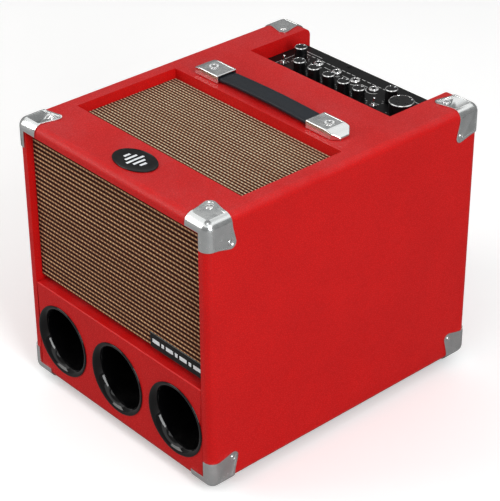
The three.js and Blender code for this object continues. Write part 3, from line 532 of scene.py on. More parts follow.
port_gloss, tree, shader = new_material("port_gloss", 0.1)
tone = place(tree, mottle, patch=0.03)["Tone"]
dust_and_sheen = place(tree, dust_and_sheen_film, patch=0.02)["Mask"]
colour = blended(tree, tone, paint(4, 4, 5), paint(8, 8, 9))
colour = blended(tree, maths(tree, "MULTIPLY", dust_and_sheen, 0.06), colour, paint(120, 116, 110))
tree.links.new(colour, shader.inputs["Base Color"])
shader.inputs["Specular IOR Level"].default_value = 0.4
tree.links.new(spread(tree, dust_and_sheen, 0.0, 1.0, 0.07, 0.25), shader.inputs["Roughness"])
bump(tree, shader, noise(tree, 55.0, 3.0), 0.0012, 0.3)

port_outer = port_bore + port_wall
inside, outside = [], []
for n in range(flare_steps + 1):
    turn = math.pi / 2 * n / flare_steps
    opening = 1 - math.sin(turn)
    depth = port_flare * (1 - math.cos(turn))
    inside.append((port_bore + (port_mouth - 0.0012 - port_bore) * opening, port_lip - depth))
    outside.append((port_outer + (port_hole - 0.0004 - port_outer) * opening, 0.0003 - depth))
lip = [(port_mouth - 0.0005, port_lip - 0.0001), (port_mouth, port_lip - 0.0006), (port_mouth, 0.0003)]
port_profile = [
    *reversed(inside),
    *lip,
    *outside,
    (port_outer, port_edge - port_length),
    (port_outer - port_edge, -port_length),
    (port_bore + port_edge, -port_length),
    (port_bore, port_edge - port_length),
]
for side, (x, _, z) in port_places.items():
    port = moved(turned(f"port_{side}", port_profile, 96), at(x, cabinet_low.y, z), front_to_up)
    fit(smooth(port, 50), port_gloss, "root", "gloss_black_plastic", f"port_tube_{side}")

# ---------------------------------------------------------------------------------------------------
# Grille cloths
# Coarse tan cords laid side by side in a brown weave, stretched over softwood frames and stapled
# behind. The front frame is pushed into the front opening and the other into the lid.
# ---------------------------------------------------------------------------------------------------

cord_height = 0.0011
cloth_thickness = 0.0006
cloth_turn = 0.0016  # radius of the cloth over its frame's edges
turn_steps = 4
cord_steps = 8
columns = 48

# Cords across one direction. Crown is 1 along the top of each cord and 0 in the gaps, Strand is the
# twist along it, and Tone differs from cord to cord.
weave_inputs = {"Across": 0.0, "Along": 0.0, "Pitch": 0.0059, "Twist": 0.005}
ribbed_weave, given, out = effect("ribbed_weave", weave_inputs, ["Crown", "Strand", "Tone"])
tree = ribbed_weave
turns = maths(tree, "DIVIDE", given["Across"], given["Pitch"])
row = maths(tree, "FLOOR", turns)
share = maths(tree, "FRACT", turns)
crown = maths(tree, "SINE", maths(tree, "MULTIPLY", share, math.pi))
tree.links.new(crown, out["Crown"])
row_tone = node(tree, "TexWhiteNoise", {"W": row}, noise_dimensions="1D").outputs["Value"]
twists = maths(tree, "DIVIDE", given["Along"], given["Twist"])
phase = maths(tree, "ADD", twists, maths(tree, "ADD", maths(tree, "MULTIPLY", share, 0.55), row_tone))
strand = maths(tree, "SINE", maths(tree, "MULTIPLY", phase, 2 * math.pi))
tree.links.new(spread(tree, strand, -1.0, 1.0, smooth=False), out["Strand"])
tree.links.new(row_tone, out["Tone"])


def cloth_material(name, across_axis, origin, pitch, crest, flank, gap):
    """Ribbed cloth whose cords run along X and follow each other up or back, with painted highlights and
    shade.
    """
    material, tree, shader = new_material(name, 0.85)
    parts = node(tree, "SeparateXYZ", {"Vector": surface(tree)}).outputs
    across = maths(tree, "SUBTRACT", parts[across_axis], origin)
    weave = place(tree, ribbed_weave, across=across, along=parts["X"], pitch=pitch, twist=0.0058)
    fuzz = noise(tree, 1500.0, 3.0)
    fade = place(tree, mottle, patch=0.04)["Tone"]
    # Painted highlight: the crest colour comes up on each twist of the strands, the flank colour between.
    cord = blended(tree, spread(tree, weave["Strand"], 0.1, 0.8, 0.3, 1.0), flank, crest)
    cord = blended(tree, maths(tree, "MULTIPLY", weave["Tone"], 0.3), cord, flank)
    cord = blended(tree, maths(tree, "MULTIPLY", fuzz, 0.3), cord, flank)
    cord = blended(tree, maths(tree, "MULTIPLY", fade, 0.15), cord, flank)
    # Painted shade darkens the brown weave from the flanks down into the gaps; the painted highlight lies
    # only along the top of each cord.
    shade = blended(tree, spread(tree, weave["Crown"], 0.4, 0.86), gap, flank)
    colour = blended(tree, spread(tree, weave["Crown"], 0.84, 0.95), shade, cord)
    tree.links.new(colour, shader.inputs["Base Color"])
    shader.inputs["Specular IOR Level"].default_value = 0.1
    shader.inputs["Sheen Weight"].default_value = 0.05
    twist = maths(tree, "MULTIPLY", weave["Strand"], 0.7)
    bump(tree, shader, maths(tree, "ADD", twist, maths(tree, "MULTIPLY", fuzz, 0.3)), 0.0005, 0.8)
    return material


def stretched_cloth(name, width, length, pitch, skirt):
    """Cloth over a frame of that size, cords along X, made flat about the origin and facing up."""

    def turned_over(half, places):
        """Places along the cloth as (distance out, depth behind the face)."""
        flat = half - cloth_turn
        side = []
        for n in range(1, turn_steps + 1):
            angle = math.pi / 2 * n / turn_steps
            side.append((flat + cloth_turn * math.sin(angle), cloth_turn * (1 - math.cos(angle))))
        side.append((half, cloth_turn + skirt))
        middle = [(p, 0.0) for p in places if abs(p) <= flat + 1e-9]
        return [(-p, d) for p, d in reversed(side)] + middle + side

    flat_x = width / 2 - cloth_turn
    along = turned_over(width / 2, [-flat_x + 2 * flat_x * n / columns for n in range(columns + 1)])
    flat_y = length / 2 - cloth_turn
    rows = []
    for cord in range(math.ceil(length / pitch)):
        for n in range(cord_steps):
            rows.append(-length / 2 + pitch * (cord + (1 - math.cos(math.pi * n / cord_steps)) / 2))
    over = turned_over(length / 2, [-flat_y] + [p for p in rows if abs(p) < flat_y - 0.0002] + [flat_y])
    points, faces = [], []
    for y, depth_y in over:
        share = ((y + length / 2) / pitch) % 1.0
        rib = cord_height * math.sqrt(max(0.0, 1 - (2 * share - 1) ** 2)) - cord_height
        for x, depth_x in along:
            depth = max(depth_x, depth_y)
            flatness = max(0.0, 1 - depth / cloth_turn)
            points.append((x, y, rib * flatness - depth))
    wide = len(along)
    for n in range(len(over) - 1):
        for m in range(wide - 1):
            first = n * wide + m
            faces.append((first, first + 1, first + wide + 1, first + wide))
    cloth = from_faces(name, points, faces)
    modifier = cloth.modifiers.new("thickness", "SOLIDIFY")
    modifier.thickness = cloth_thickness
    modifier.offset = -1 if cloth.data.polygons[len(faces) // 2].normal.z > 0 else 1
    return settle(cloth)


def cloth_frame(name, width, length, depth, bar):
    """A mitred softwood frame, made flat about the origin with its face at the top."""
    made = block(name, (-width / 2, -length / 2, -depth), (width / 2, length / 2, 0), 0.001, 2)
    window_low = (bar - width / 2, bar - length / 2, -1)
    window = block("window", window_low, (width / 2 - bar, length / 2 - bar, 1))
    return soften(cut(made, window), 0.0008, 2, 60)


def streaks(tree, stretch, scale, detail):
    """The same values, drawn out along the axes where the stretch is small."""
    drawn = node(tree, "Mapping", {"Vector": surface(tree), "Scale": stretch}).outputs["Vector"]
    sockets = {"Vector": drawn, "Scale": scale, "Detail": detail}
    return node(tree, "TexNoise", sockets).outputs["Fac"]


frame_wood, tree, shader = new_material("cloth_frame_wood", 0.6)
rings = streaks(tree, (3.0, 60.0, 60.0), 8.0, 5.0)
tree.links.new(blended(tree, rings, paint(44, 32, 24), paint(70, 52, 38)), shader.inputs["Base Color"])
bump(tree, shader, rings, 0.0003, 0.5)

front_low, front_high = corners("front_grille")
front_cloth_z = (front_low[2], front_high[2])
front_pitch = 0.0059
top_low, top_high = corners("top_grille")
top_cloth_y = (top_low[1], top_high[1])
top_pitch = 0.0047
frame_inset = 0.0008  # of each frame under its cloth

# The same cloth, painted lighter on the lid than on the front: painted light, as the top faces the light and
# the front lies in shade.
shaded_front_tan = cloth_material(
    "grille_cloth_front", "Z", front_cloth_z[0], front_pitch,
    paint(250, 208, 156), paint(102, 44, 20), paint(30, 9, 2),
)
lit_top_tan = cloth_material(
    "grille_cloth_top", "Y", top_cloth_y[0], top_pitch,
    paint(255, 242, 208), paint(132, 78, 44), paint(30, 11, 4),
)

front_size = (2 * front_high[0], front_cloth_z[1] - front_cloth_z[0])
front_place = at(0, front_low[1], sum(front_cloth_z) / 2) @ front_to_up
top_size = (2 * top_high[0], top_cloth_y[1] - top_cloth_y[0])
top_place = at(0, sum(top_cloth_y) / 2, top_high[2])
behind = {"front": at(0, frame_inset, 0), "top": at(0, 0, -frame_inset)}
for side, (width, length), depth, bar, pitch, skirt, turn_over, spot, tan in (
    ("front", front_size, 0.0072, 0.014, front_pitch, 0.004, 0.005, front_place, shaded_front_tan),
    ("top", top_size, 0.0052, 0.010, top_pitch, 0.002, 0.003, top_place, lit_top_tan),
):
    inset = 2 * frame_inset
    wood = cloth_frame(f"{side}_cloth_frame", width - inset, length - inset, depth, bar)
    moved(wood, behind[side], spot)
    fit(smooth(wood), frame_wood, "root", "grille_cloth", f"{side}_grille")
    cloth = moved(stretched_cloth(f"{side}_cloth", width, length, pitch, skirt), spot)
    fit(smooth(cloth, 80), tan, "root", "grille_cloth", f"{side}_grille")

# ---------------------------------------------------------------------------------------------------
# Name plate
# A thin pressed plate glued to the corner of the front cloth: black enamel with a bright bare rim.
# It carries a plain row of raised dashes.
# ---------------------------------------------------------------------------------------------------

plate_low, plate_high = (Vector(corner) for corner in corners("grille_plate"))
plate_rim = 0.0006


def dusty(patch, share, colour):
    """A film of dust for a finish, at its thickest a share of the colour."""
    return dust_and_sheen_film, {"patch": patch}, share, colour


def worn(width, patch, share, colour):
    """Worn edges for a finish, at their barest a share of the colour."""
    return edge_wear, {"width": width, "patch": patch}, share, colour


def finish(name, patch, dark, light, rough, *films, metallic=0.0, specular=0.5):
    """A material of two close tones under films of dust and wear. A pair as rough follows the tone."""
    made, tree, shader = new_material(name, 0.5 if isinstance(rough, tuple) else rough, metallic)
    tone = place(tree, mottle, patch=patch)["Tone"]
    colour = blended(tree, tone, paint(*dark), paint(*light))
    for group, values, share, film in films:
        mask = place(tree, group, **values)["Mask"]
        colour = blended(tree, maths(tree, "MULTIPLY", mask, share), colour, paint(*film))
    tree.links.new(colour, shader.inputs["Base Color"])
    if isinstance(rough, tuple):
        tree.links.new(spread(tree, tone, 0.0, 1.0, *rough), shader.inputs["Roughness"])
    shader.inputs["Specular IOR Level"].default_value = specular
    return made, tree, shader


black_enamel, tree, shader = finish(
    "black_enamel", 0.02, (8, 9, 9), (14, 15, 15), (0.14, 0.22),
    dusty(0.02, 0.05, (110, 108, 104)), worn(0.0006, 0.003, 0.3, (90, 90, 92)), specular=0.25,
)
bright_metal, tree, shader = finish(
    "bright_metal", 0.012, (232, 233, 234), (246, 246, 244), (0.12, 0.24), metallic=1.0
)
plate_metal, tree, shader = finish(
    "plate_metal", 0.01, (74, 76, 78), (104, 106, 108), (0.28, 0.42), metallic=0.9
)
white_enamel, tree, shader = finish(
    "white_enamel", 0.01, (222, 226, 230), (240, 242, 244), (0.2, 0.35)
)

plate = block("name_plate", plate_low, plate_high, 0.0004, 3)
pocket_low = (plate_low.x + plate_rim, -1, plate_low.z + plate_rim)
pocket_high = (plate_high.x - plate_rim, plate_low.y + 0.0003, plate_high.z - plate_rim)
cut(plate, block("pocket", pocket_low, pocket_high))
fit(smooth(plate), plate_metal, "root", "badge_enamel", "grille_plate")
enamel = block(
    "name_plate_enamel",
    (plate_low.x + plate_rim, plate_low.y + 0.00005, plate_low.z + plate_rim),
    (plate_high.x - plate_rim, plate_low.y + 0.0004, plate_high.z - plate_rim),
    0.0001,
    1,
)
fit(smooth(enamel), black_enamel, "root", "badge_enamel")

dash_lengths = [0.0125, 0.0045, 0.0125, 0.0045, 0.0125, 0.0045, 0.0125]
dash_gap = 0.0035
dash_half = 0.0026
dash_x = (plate_low.x + plate_high.x - sum(dash_lengths) - dash_gap * (len(dash_lengths) - 1)) / 2
dash_z = (plate_low.z + plate_high.z) / 2
dashes = None
for length in dash_lengths:
    low = (dash_x, plate_low.y - 0.0001, dash_z - dash_half)
    high = (dash_x + length, plate_low.y + 0.0003, dash_z + dash_half)
    dash = block("name_plate_dashes", low, high, 0.00018, 2)
    dashes = join(dashes, dash) if dashes else dash
    dash_x += length + dash_gap
fit(smooth(dashes), white_enamel, "root", "badge_enamel")

# ---------------------------------------------------------------------------------------------------
# Oval badge
# A domed oval of black enamel in a slim rim of the same enamel, glued to the lid in front of its cloth.
# Five rounded bars of different heights, like a level meter, stand on it as a plain ornament.
# ---------------------------------------------------------------------------------------------------

badge_low, badge_high = corners("oval_badge")
badge_centre = Vector((*middle("oval_badge")[:2], badge_low[2]))
badge_half = Vector((badge_high[0] - badge_centre.x, badge_high[1] - badge_centre.y))
badge_sides = 96


def oval_rings(name, rings):
    """A closed oval piece from rings of (share of full size, height), the centre last."""
    points, faces = [], []
    for share, z in rings:
        for n in range(badge_sides):
            angle = 2 * math.pi * n / badge_sides
            x = share * badge_half.x * math.cos(angle)
            points.append((x, share * badge_half.y * math.sin(angle), z))
    for ring in range(len(rings) - 1):
        for n in range(badge_sides):
            after = (n + 1) % badge_sides
            low, high = ring * badge_sides, (ring + 1) * badge_sides
            faces.append((low + n, low + after, high + after, high + n))
    faces.append(tuple(range(badge_sides)))
    faces.append(tuple(range((len(rings) - 1) * badge_sides, len(rings) * badge_sides)))
    return moved(from_faces(name, points, faces), at(*badge_centre))


rim = [(0.99, 0), (1.0, 0.0003), (1.0, 0.0009), (0.985, 0.0013), (0.965, 0.0013), (0.955, 0.0009)]
badge_rim = oval_rings("badge_rim", rim)
fit(smooth(badge_rim), black_enamel, "root", "badge_enamel", "oval_badge")
dome_angles = (0.1, 0.3, 0.6, 0.9, 1.2, 1.45)
dome = [(0.95 * math.cos(a), 0.0009 + 0.0006 * math.sin(a)) for a in dome_angles]
badge_face = oval_rings("badge_enamel", [(0.95, 0.0008), *dome])
fit(smooth(badge_face, 60), black_enamel, "root", "badge_enamel")

bar_heights = [0.009, 0.017, 0.025, 0.017, 0.009]
bar_width = 0.0034
bar_pitch = 0.0072
bars = None
for n, length in enumerate(bar_heights):
    x = badge_centre.x + (n - 2) * bar_pitch
    low = (x - bar_width / 2, badge_centre.y - length / 2, badge_centre.z + 0.0006)
    high = (x + bar_width / 2, badge_centre.y + length / 2, badge_centre.z + 0.0018)
    bar = soften(block("badge_bars", low, high), 0.0005, 3)
    bars = join(bars, bar) if bars else bar
fit(smooth(bars), white_enamel, "root", "badge_enamel")

# ---------------------------------------------------------------------------------------------------
# Baffles
# Plywood boards behind the cloths that carry the drivers, painted a dull dark red so that the gaps
# beside the cloths don't show pale wood.
# ---------------------------------------------------------------------------------------------------


def dress(material, *names):
    """Gives some of the frame's own nodes a material in place of their plain one."""
    for name in names:
        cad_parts[name].data.materials.clear()
        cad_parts[name].data.materials.append(material)


baffle_paint, tree, shader = new_material("baffle_paint", 0.7)
rings = streaks(tree, (4.0, 40.0, 40.0), 12.0, 6.0)
tree.links.new(blended(tree, rings, paint(60, 12, 10), paint(84, 18, 14)), shader.inputs["Base Color"])
tree.links.new(spread(tree, rings, 0.3, 0.7, 0.6, 0.8), shader.inputs["Roughness"])
bump(tree, shader, rings, 0.0004, 0.5)
dress(baffle_paint, "front_baffle", "top_baffle")

# ---------------------------------------------------------------------------------------------------
# Corner caps
# Eight pressed steel caps, nickel plated, that wrap the cabinet's corners. Each has a raised border
# round a flat panel on its two legs, a lip on the front or rear edges, and a screw near each tip.
# ---------------------------------------------------------------------------------------------------

cap_leg = 0.035
cap_tip = 0.040
cap_tip_radius = 0.0075
cap_lip = 0.013
cap_straight = 0.009  # of a leg's flank, before it bends to the tip
cap_proud = 0.0015
cap_gap = 0.0003
cap_border = 0.0030
flank_steps = 9
cap_screw = {"flat": 0.0285, "side": 0.0320}  # from the corner to each leg's screw, along both edges
cap_dish = {"flat": 0.0072, "side": 0.0046}  # radius of the dish that each screw sits in

nickel, tree, shader = finish(
    "nickel_plate", 0.010, (226, 229, 229), (236, 238, 237), 0.24,
    worn(0.0012, 0.004, 0.4, (250, 250, 246)), metallic=1.0,
)
tone = place(tree, mottle, patch=0.010)["Tone"]
scratches = streaks(tree, (900.0, 60.0, 300.0), 1.0, 3.0)
matt = spread(tree, scratches, 0.45, 0.75, 0.0, 0.02)
satin = maths(tree, "ADD", spread(tree, tone, 0.0, 1.0, 0.2, 0.26), matt)
tree.links.new(satin, shader.inputs["Roughness"])
bump(tree, shader, scratches, 0.00002, 0.06)


def leg_outline(inset):
    """A leg seen from outside: straight at the edges, then waisted, with a round tip."""
    low = -cap_proud - 0.001 if inset == 0 else cabinet_edge * 0.75
    leg = cap_leg - inset
    tip = cap_tip - cap_tip_radius
    radius = cap_tip_radius - inset
    flank = []
    for n in range(1, flank_steps):
        share = n / flank_steps
        bend = 0.5 * share + 0.5 * share * share * (3 - 2 * share)
        waist = -0.0004 * math.sin(math.pi * share)
        rise = cap_straight + (tip - cap_straight) * share
        flank.append((leg + (tip + radius - leg) * bend + waist, rise))
    angles = [math.pi / 2 * n / 10 for n in range(11)]
    lobe = [(tip + radius * math.cos(a), tip + radius * math.sin(a)) for a in angles]
    mirrored = [(y, x) for x, y in reversed(flank)]
    straight = max(low, cap_straight)
    return [(low, low), (leg, low), (leg, straight), *flank, *lobe, *mirrored, (straight, leg), (low, leg)]


def raised(name, outline, low, high):
    """A flat outline given thickness, from one height to another."""
    outline = [p for n, p in enumerate(outline) if (Vector(p) - Vector(outline[n - 1])).length > 1e-6]
    count = len(outline)
    points = [(x, y, low) for x, y in outline] + [(x, y, high) for x, y in outline]
    sides = [(n, (n + 1) % count, count + (n + 1) % count, count + n) for n in range(count)]
    return from_faces(name, points, [tuple(range(count)), tuple(range(count, 2 * count)), *sides])


# Turns a shape made on the top leg to the side leg.
to_side = Matrix(((0, 0, 1, 0), (1, 0, 0, 0), (0, 1, 0, 0), (0, 0, 0, 1)))
cap_size = 0.120
skin_low = Vector((-cap_proud,) * 3)
cap = block("corner_cap", skin_low, skin_low + Vector((cap_size,) * 3), cabinet_edge + cap_proud, 8)
core_low = Vector((-cap_gap,) * 3)
cut(cap, block("core", core_low, core_low + Vector((cap_size + 0.01,) * 3), cabinet_edge + cap_gap, 8))
reach = cabinet_edge + 0.002
legs = raised("legs", leg_outline(0), -0.003, reach)
join(legs, moved(raised("side_leg", leg_outline(0), -0.003, reach), to_side))
join(legs, block("lip", (-0.003, -0.003, -0.003), (cap_leg, reach, cap_lip)))
join(legs, block("lip", (-0.003, -0.003, -0.003), (cap_lip, reach, cap_leg)))
combine(cap, legs, "INTERSECT")
leg_turns = {"flat": Matrix.Identity(4), "side": to_side}
panel_depth = {"flat": 0.0006, "side": 0.0004}
dish_floor = 0.0009 - cap_proud
for leg_name, turn in leg_turns.items():
    panel = raised("panel", leg_outline(cap_border), -0.005, panel_depth[leg_name] - cap_proud)
    cut(cap, moved(panel, turn))
    radius, spot = cap_dish[leg_name], cap_screw[leg_name]
    bowl = [(radius, -cap_proud), (radius * 0.72, dish_floor), (0, dish_floor)]
    dish = [(0, -0.004), (radius, -0.004), *bowl]
    cut(cap, moved(turned("dish", dish, 40), turn, at(spot, spot, 0)))
soften(cap, 0.0002, 2, 35)
smooth(cap, 45)


def cross_screw(name, radius, height):
    """A domed screw head with a cross recess, its seat at the origin and facing up."""
    angles = [math.pi / 2 * n / 7 for n in range(7)]
    dome = [(radius * math.cos(a), height * math.sin(a)) for a in angles]
    head = turned(name, [(0, -0.0006), (radius * 0.9, -0.0006), *dome, (0, height)], 32)
    for turn in (0, math.pi / 2):
        slot_low = (-radius * 0.5, -radius * 0.1, height * 0.35)
        slot = block("slot", slot_low, (radius * 0.5, radius * 0.1, 1))
        cut(head, moved(slot, Matrix.Rotation(turn + 0.4, 4, "Z")))
    return smooth(soften(head, radius * 0.03, 1, 50), 40)


def copied(name, pattern, *matrices):
    """A copy of a pattern's mesh, carried to its place."""
    return moved(show(name, pattern.data.copy()), *matrices)


screw_radius = {"flat": 0.0046, "side": 0.0030}
cap_screw_heads = {leg: cross_screw("cap_screw", radius, 0.0012) for leg, radius in screw_radius.items()}
face_out = Matrix.Rotation(math.pi, 4, "X")
for level_name, side_z in (("bottom", 1), ("top", -1)):
    for end_name, side_y in (("front", 1), ("rear", -1)):
        for side_name, side_x in (("left", 1), ("right", -1)):
            corner = at(
                cabinet_low.x if side_x > 0 else cabinet_high.x,
                cabinet_low.y if side_y > 0 else cabinet_high.y,
                cabinet_low.z if side_z > 0 else cabinet_high.z,
            ) @ Matrix.Diagonal((side_x, side_y, side_z, 1))
            where_name = f"{level_name}_{end_name}_{side_name}"
            own = copied(f"cap_{where_name}", cap, corner)
            fit(own, nickel, "root", "nickel_plate", f"corner_{where_name}")
            for leg_name, turn in leg_turns.items():
                seat = at(cap_screw[leg_name], cap_screw[leg_name], dish_floor)
                pattern = cap_screw_heads[leg_name]
                name = f"cap_screw_{where_name}_{leg_name}"
                screw = copied(name, pattern, corner, turn, seat, face_out)
                fit(screw, bright_metal, "root", "nickel_plate")
for pattern in (cap, *cap_screw_heads.values()):
    bpy.data.objects.remove(pattern)

# ---------------------------------------------------------------------------------------------------
# Handle ends
# Two cast caps, nickel plated, that hold the strap down. Each has a soft border round its flat top,
# a dish for one screw, cut corners, and an end that slopes down to a thin foot.
# ---------------------------------------------------------------------------------------------------

(handle_half_span, _, lid_z), _ = corners("handle_end_right")
handle_y = middle("handle_end_right")[1]
end_length = 0.050
end_half_width = 0.0155
end_height = 0.0105
end_wall = 0.0014
end_screw = 0.024
end_dish_floor = end_height - 0.0022
corner_cut = 0.0085


def end_profile(wall):
    """The cap from the side: level over the strap, then a curve down to its foot."""
    top = end_height - wall
    last = end_length - wall
    curve = []
    for n in range(13):
        t = n / 12
        x = (1 - t) ** 2 * 0.029 + 2 * t * (1 - t) * 0.042 + t * t * last
        z = (1 - t) ** 2 * top + 2 * t * (1 - t) * top + t * t * (0.0030 - wall * 0.5)
        curve.append((x, z))
    mouth, foot = (-0.010, -0.002) if wall else (0.0, 0.0)
    return [(mouth, foot), (last, foot), *reversed(curve), (mouth, top)]


def upright_sheet(name, outline, half):
    """An (x, z) outline given thickness from -half to half along Y."""
    made = raised(name, outline, -half, half)
    return moved(made, Matrix.Rotation(math.pi / 2, 4, "X"))


def end_plan(wall):
    """The cap from above, with its two corners cut at 45 degrees."""
    half, last, mouth = end_half_width - wall, end_length - wall, -0.02 if wall else 0.0
    cut_x = end_length - corner_cut - wall * math.tan(math.pi / 8)
    cut_y = end_half_width - corner_cut - wall * math.tan(math.pi / 8)
    right = [(mouth, -half), (cut_x, -half), (last, -cut_y)]
    return right + [(x, -y) for x, y in reversed(right)]


end_cap = upright_sheet("handle_end", end_profile(0), end_half_width)
combine(end_cap, raised("plan", end_plan(0), -0.01, 0.03), "INTERSECT")
soften(end_cap, 0.0011, 4, 30)
hollow = upright_sheet("hollow", end_profile(end_wall), end_half_width - end_wall)
combine(hollow, raised("inner_plan", end_plan(end_wall), -0.01, 0.03), "INTERSECT")
cut(end_cap, hollow)
dish_steps = [
    (0, end_dish_floor),
    (0.0046, end_dish_floor),
    (0.0066, end_height - 0.0012),
    (0.0078, end_height + 0.0002),
    (0.0078, 0.03),
    (0, 0.03),
]
pillar = drum("pillar", 0.0086, 0.0, end_height - 0.0008, 48)
join(end_cap, moved(pillar, at(end_screw, 0, 0)))
cut(end_cap, moved(turned("dish", dish_steps, 48), at(end_screw, 0, 0)))
panel_low = (0.0022, 0.0022 - end_half_width, end_height - 0.0003)
cut(end_cap, block("panel", panel_low, (0.0335, end_half_width - 0.0022, 0.03)))
soften(end_cap, 0.0003, 2, 40)
smooth(end_cap, 45)
end_screw_head = cross_screw("end_screw", 0.0042, 0.0016)
for side_name, turn in (("left", math.pi), ("right", 0.0)):
    sign = -1 if side_name == "left" else 1
    seat = at(sign * handle_half_span, handle_y, lid_z) @ Matrix.Rotation(turn, 4, "Z")
    own = copied(f"end_cap_{side_name}", end_cap, seat)
    fit(own, nickel, "root", "nickel_plate", f"handle_end_{side_name}")
    screw = copied(f"end_screw_{side_name}", end_screw_head, seat, at(end_screw, 0, end_dish_floor))
    fit(screw, bright_metal, "root", "nickel_plate")
bpy.data.objects.remove(end_cap)
bpy.data.objects.remove(end_screw_head)

# ---------------------------------------------------------------------------------------------------
# Strap
# A flat moulded rubber strap over a steel core, with a bead along each edge. It is made in two
# lengths that meet in the middle.
# ---------------------------------------------------------------------------------------------------

strap_half_width = 0.013
strap_half_thickness = 0.00275
strap_end = 0.080
strap_sliding_end = 0.084
strap_lift = 0.36875  # of its middle above the ground at the end caps
strap_rise = 0.0022
strap_fold = 0.045
fold_reach = 0.010  # of the bend on each side of a fold


def strap_height(x):
    """The height of the strap's middle line, which arches a little between its ends."""
    share = min(1.0, abs(x) / strap_end)
    return strap_lift + strap_rise * (1 - share * share)


def strap_section():
    """The strap cut across, as (y, z) from its middle, with its two edge beads."""
    half, thick = strap_half_width, strap_half_thickness
    angles = (-1.2, -0.8, -0.4, 0, 0.4, 0.8, 1.2)
    edge = [(half - 0.0012 * (1 - math.cos(a)), (thick - 0.0004) * math.sin(a)) for a in angles]
    upper = [
        (half - 0.0014, thick - 0.0001),
        (half - 0.0020, thick),
        (half - 0.0026, thick - 0.0001),
        (half - 0.0031, thick - 0.0008),
        (half - 0.0038, thick - 0.0008),
        (half - 0.0048, thick - 0.0003),
        (0.004, thick - 0.0001),
    ]
    right = edge + upper
    left = [(-y, z) for y, z in reversed(right)]
    lower = [(-half + 0.003, -thick + 0.0001), (0.0, -thick), (half - 0.003, -thick + 0.0001)]
    return right + left + lower


strap_rubber, tree, shader = finish(
    "strap_rubber", 0.02, (20, 25, 31), (28, 34, 41), (0.4, 0.55),
    worn(0.0009, 0.004, 0.3, (96, 102, 108)), dusty(0.02, 0.05, (130, 130, 128)), specular=0.3,
)
bump(tree, shader, place(tree, leather_grain, pebble=0.0009)["Height"], 0.00012, 0.5)


def strap_length(name, x0, x1):
    """A length of the strap along its arch, from one X to the other."""
    section = strap_section()
    count = len(section)
    stations = 41
    points = []
    for n in range(stations):
        x = x0 + (x1 - x0) * n / (stations - 1)
        slope = (strap_height(x + 0.0005) - strap_height(x - 0.0005)) / 0.001
        tilt = math.atan(slope)
        for y, z in section:
            points.append((x - z * math.sin(tilt), handle_y + y, strap_height(x) + z * math.cos(tilt)))
    faces = [tuple(range(count)), tuple(range((stations - 1) * count, stations * count))]
    for n in range(stations - 1):
        for m in range(count):
            first, after = n * count + m, n * count + (m + 1) % count
            faces.append((first, after, after + count, first + count))
    return smooth(from_faces(name, points, faces), 60)


for name, x0, x1, bodies, nodes in (
    ("strap_left_half", -strap_end, 0.0, ("strap_left", "strap_centre"), ("strap_left", "strap_centre")),
    ("strap_right_half", 0.0, strap_sliding_end, ("strap_centre", "strap_right"), ("strap_right",)),
):
    half_strap = strap_length(name, x0, x1)
    half_strap.data.materials.append(strap_rubber)
    sign = -1 if x0 < 0 else 1
    near, far = sign * (strap_fold - fold_reach), sign * (strap_fold + fold_reach)
    start, end = (far, near) if sign < 0 else (near, far)
    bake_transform(half_strap)
    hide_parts(*nodes)

# ---------------------------------------------------------------------------------------------------
# Rear panel
# A plywood panel in the same vinyl that closes the back of the cabinet round the amplifier's bay.
# Black screws in cup washers hold it to battens inside.
# ---------------------------------------------------------------------------------------------------

dress(red_vinyl, "rear_panel")
ease(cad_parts["rear_panel"], 0.0010, 3, 50)

black_screw, tree, shader = finish(
    "black_screw", 0.004, (26, 26, 27), (40, 40, 42), (0.28, 0.45),
    worn(0.0004, 0.002, 0.6, (130, 130, 130)), metallic=0.8,
)

face_rear = Matrix.Rotation(-math.pi / 2, 4, "X")
rear_screw_x = 0.147
rear_screw_rows = {
    0.040: (-rear_screw_x, 0.0, rear_screw_x),
    0.135: (-rear_screw_x, rear_screw_x),
    0.225: (-rear_screw_x, rear_screw_x),
    0.335: (-rear_screw_x, rear_screw_x),
}
rear_screw_places = [(x, z) for z, row in rear_screw_rows.items() for x in row]
rear_screw = cross_screw("rear_screw", 0.0042, 0.0018)
washer_profile = [(0.0, 0.0), (0.0062, 0.0), (0.0060, 0.0007), (0.0046, 0.0013), (0.0, 0.0013)]
for n, (x, z) in enumerate(rear_screw_places):
    washer = moved(turned(f"rear_cup_washer_{n}", washer_profile, 32), at(x, rear_face, z), face_rear)
    fit(smooth(washer), black_screw, "root", "nickel_plate")
    screw = copied(f"rear_screw_{n}", rear_screw, at(x, rear_face + 0.0012, z), face_rear)
    fit(screw, black_screw, "root", "nickel_plate")
bpy.data.objects.remove(rear_screw)

# ---------------------------------------------------------------------------------------------------
# Control panel
# A folded steel panel in satin black, screwed down at the floor of the notch. White ink marks the
# turn of each knob and links the sockets, with no lettering.
# ---------------------------------------------------------------------------------------------------

panel_z = corners("control_panel")[1][2]
knob_names = ("left", "row_1", "row_2", "row_3", "row_4", "row_5", "right")
small_knobs = {name: middle(f"knob_{name}")[:2] for name in knob_names}
master_place = middle("knob_master")[:2]
toggle_places = {"left": (-0.097, 0.143), "right": (0.063, 0.142)}
jack_places = [(-0.065, 0.174), (-0.0325, 0.174), (0.0, 0.174), (0.0325, 0.174)]

satin_black, tree, shader = finish(
    "satin_black_steel", 0.02, (10, 10, 11), (17, 17, 18), (0.36, 0.5),
    dusty(0.015, 0.03, (130, 128, 124)), worn(0.0006, 0.003, 0.3, (120, 120, 120)), specular=0.15,
)
bump(tree, shader, noise(tree, 1800.0, 2.0), 0.0001, 0.5)
dress(satin_black, "control_panel")
ease(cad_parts["control_panel"], 0.0003, 2, 60)

white_ink, tree, shader = finish(
    "white_ink", 0.003, (196, 198, 198), (228, 228, 226), (0.42, 0.6)
)

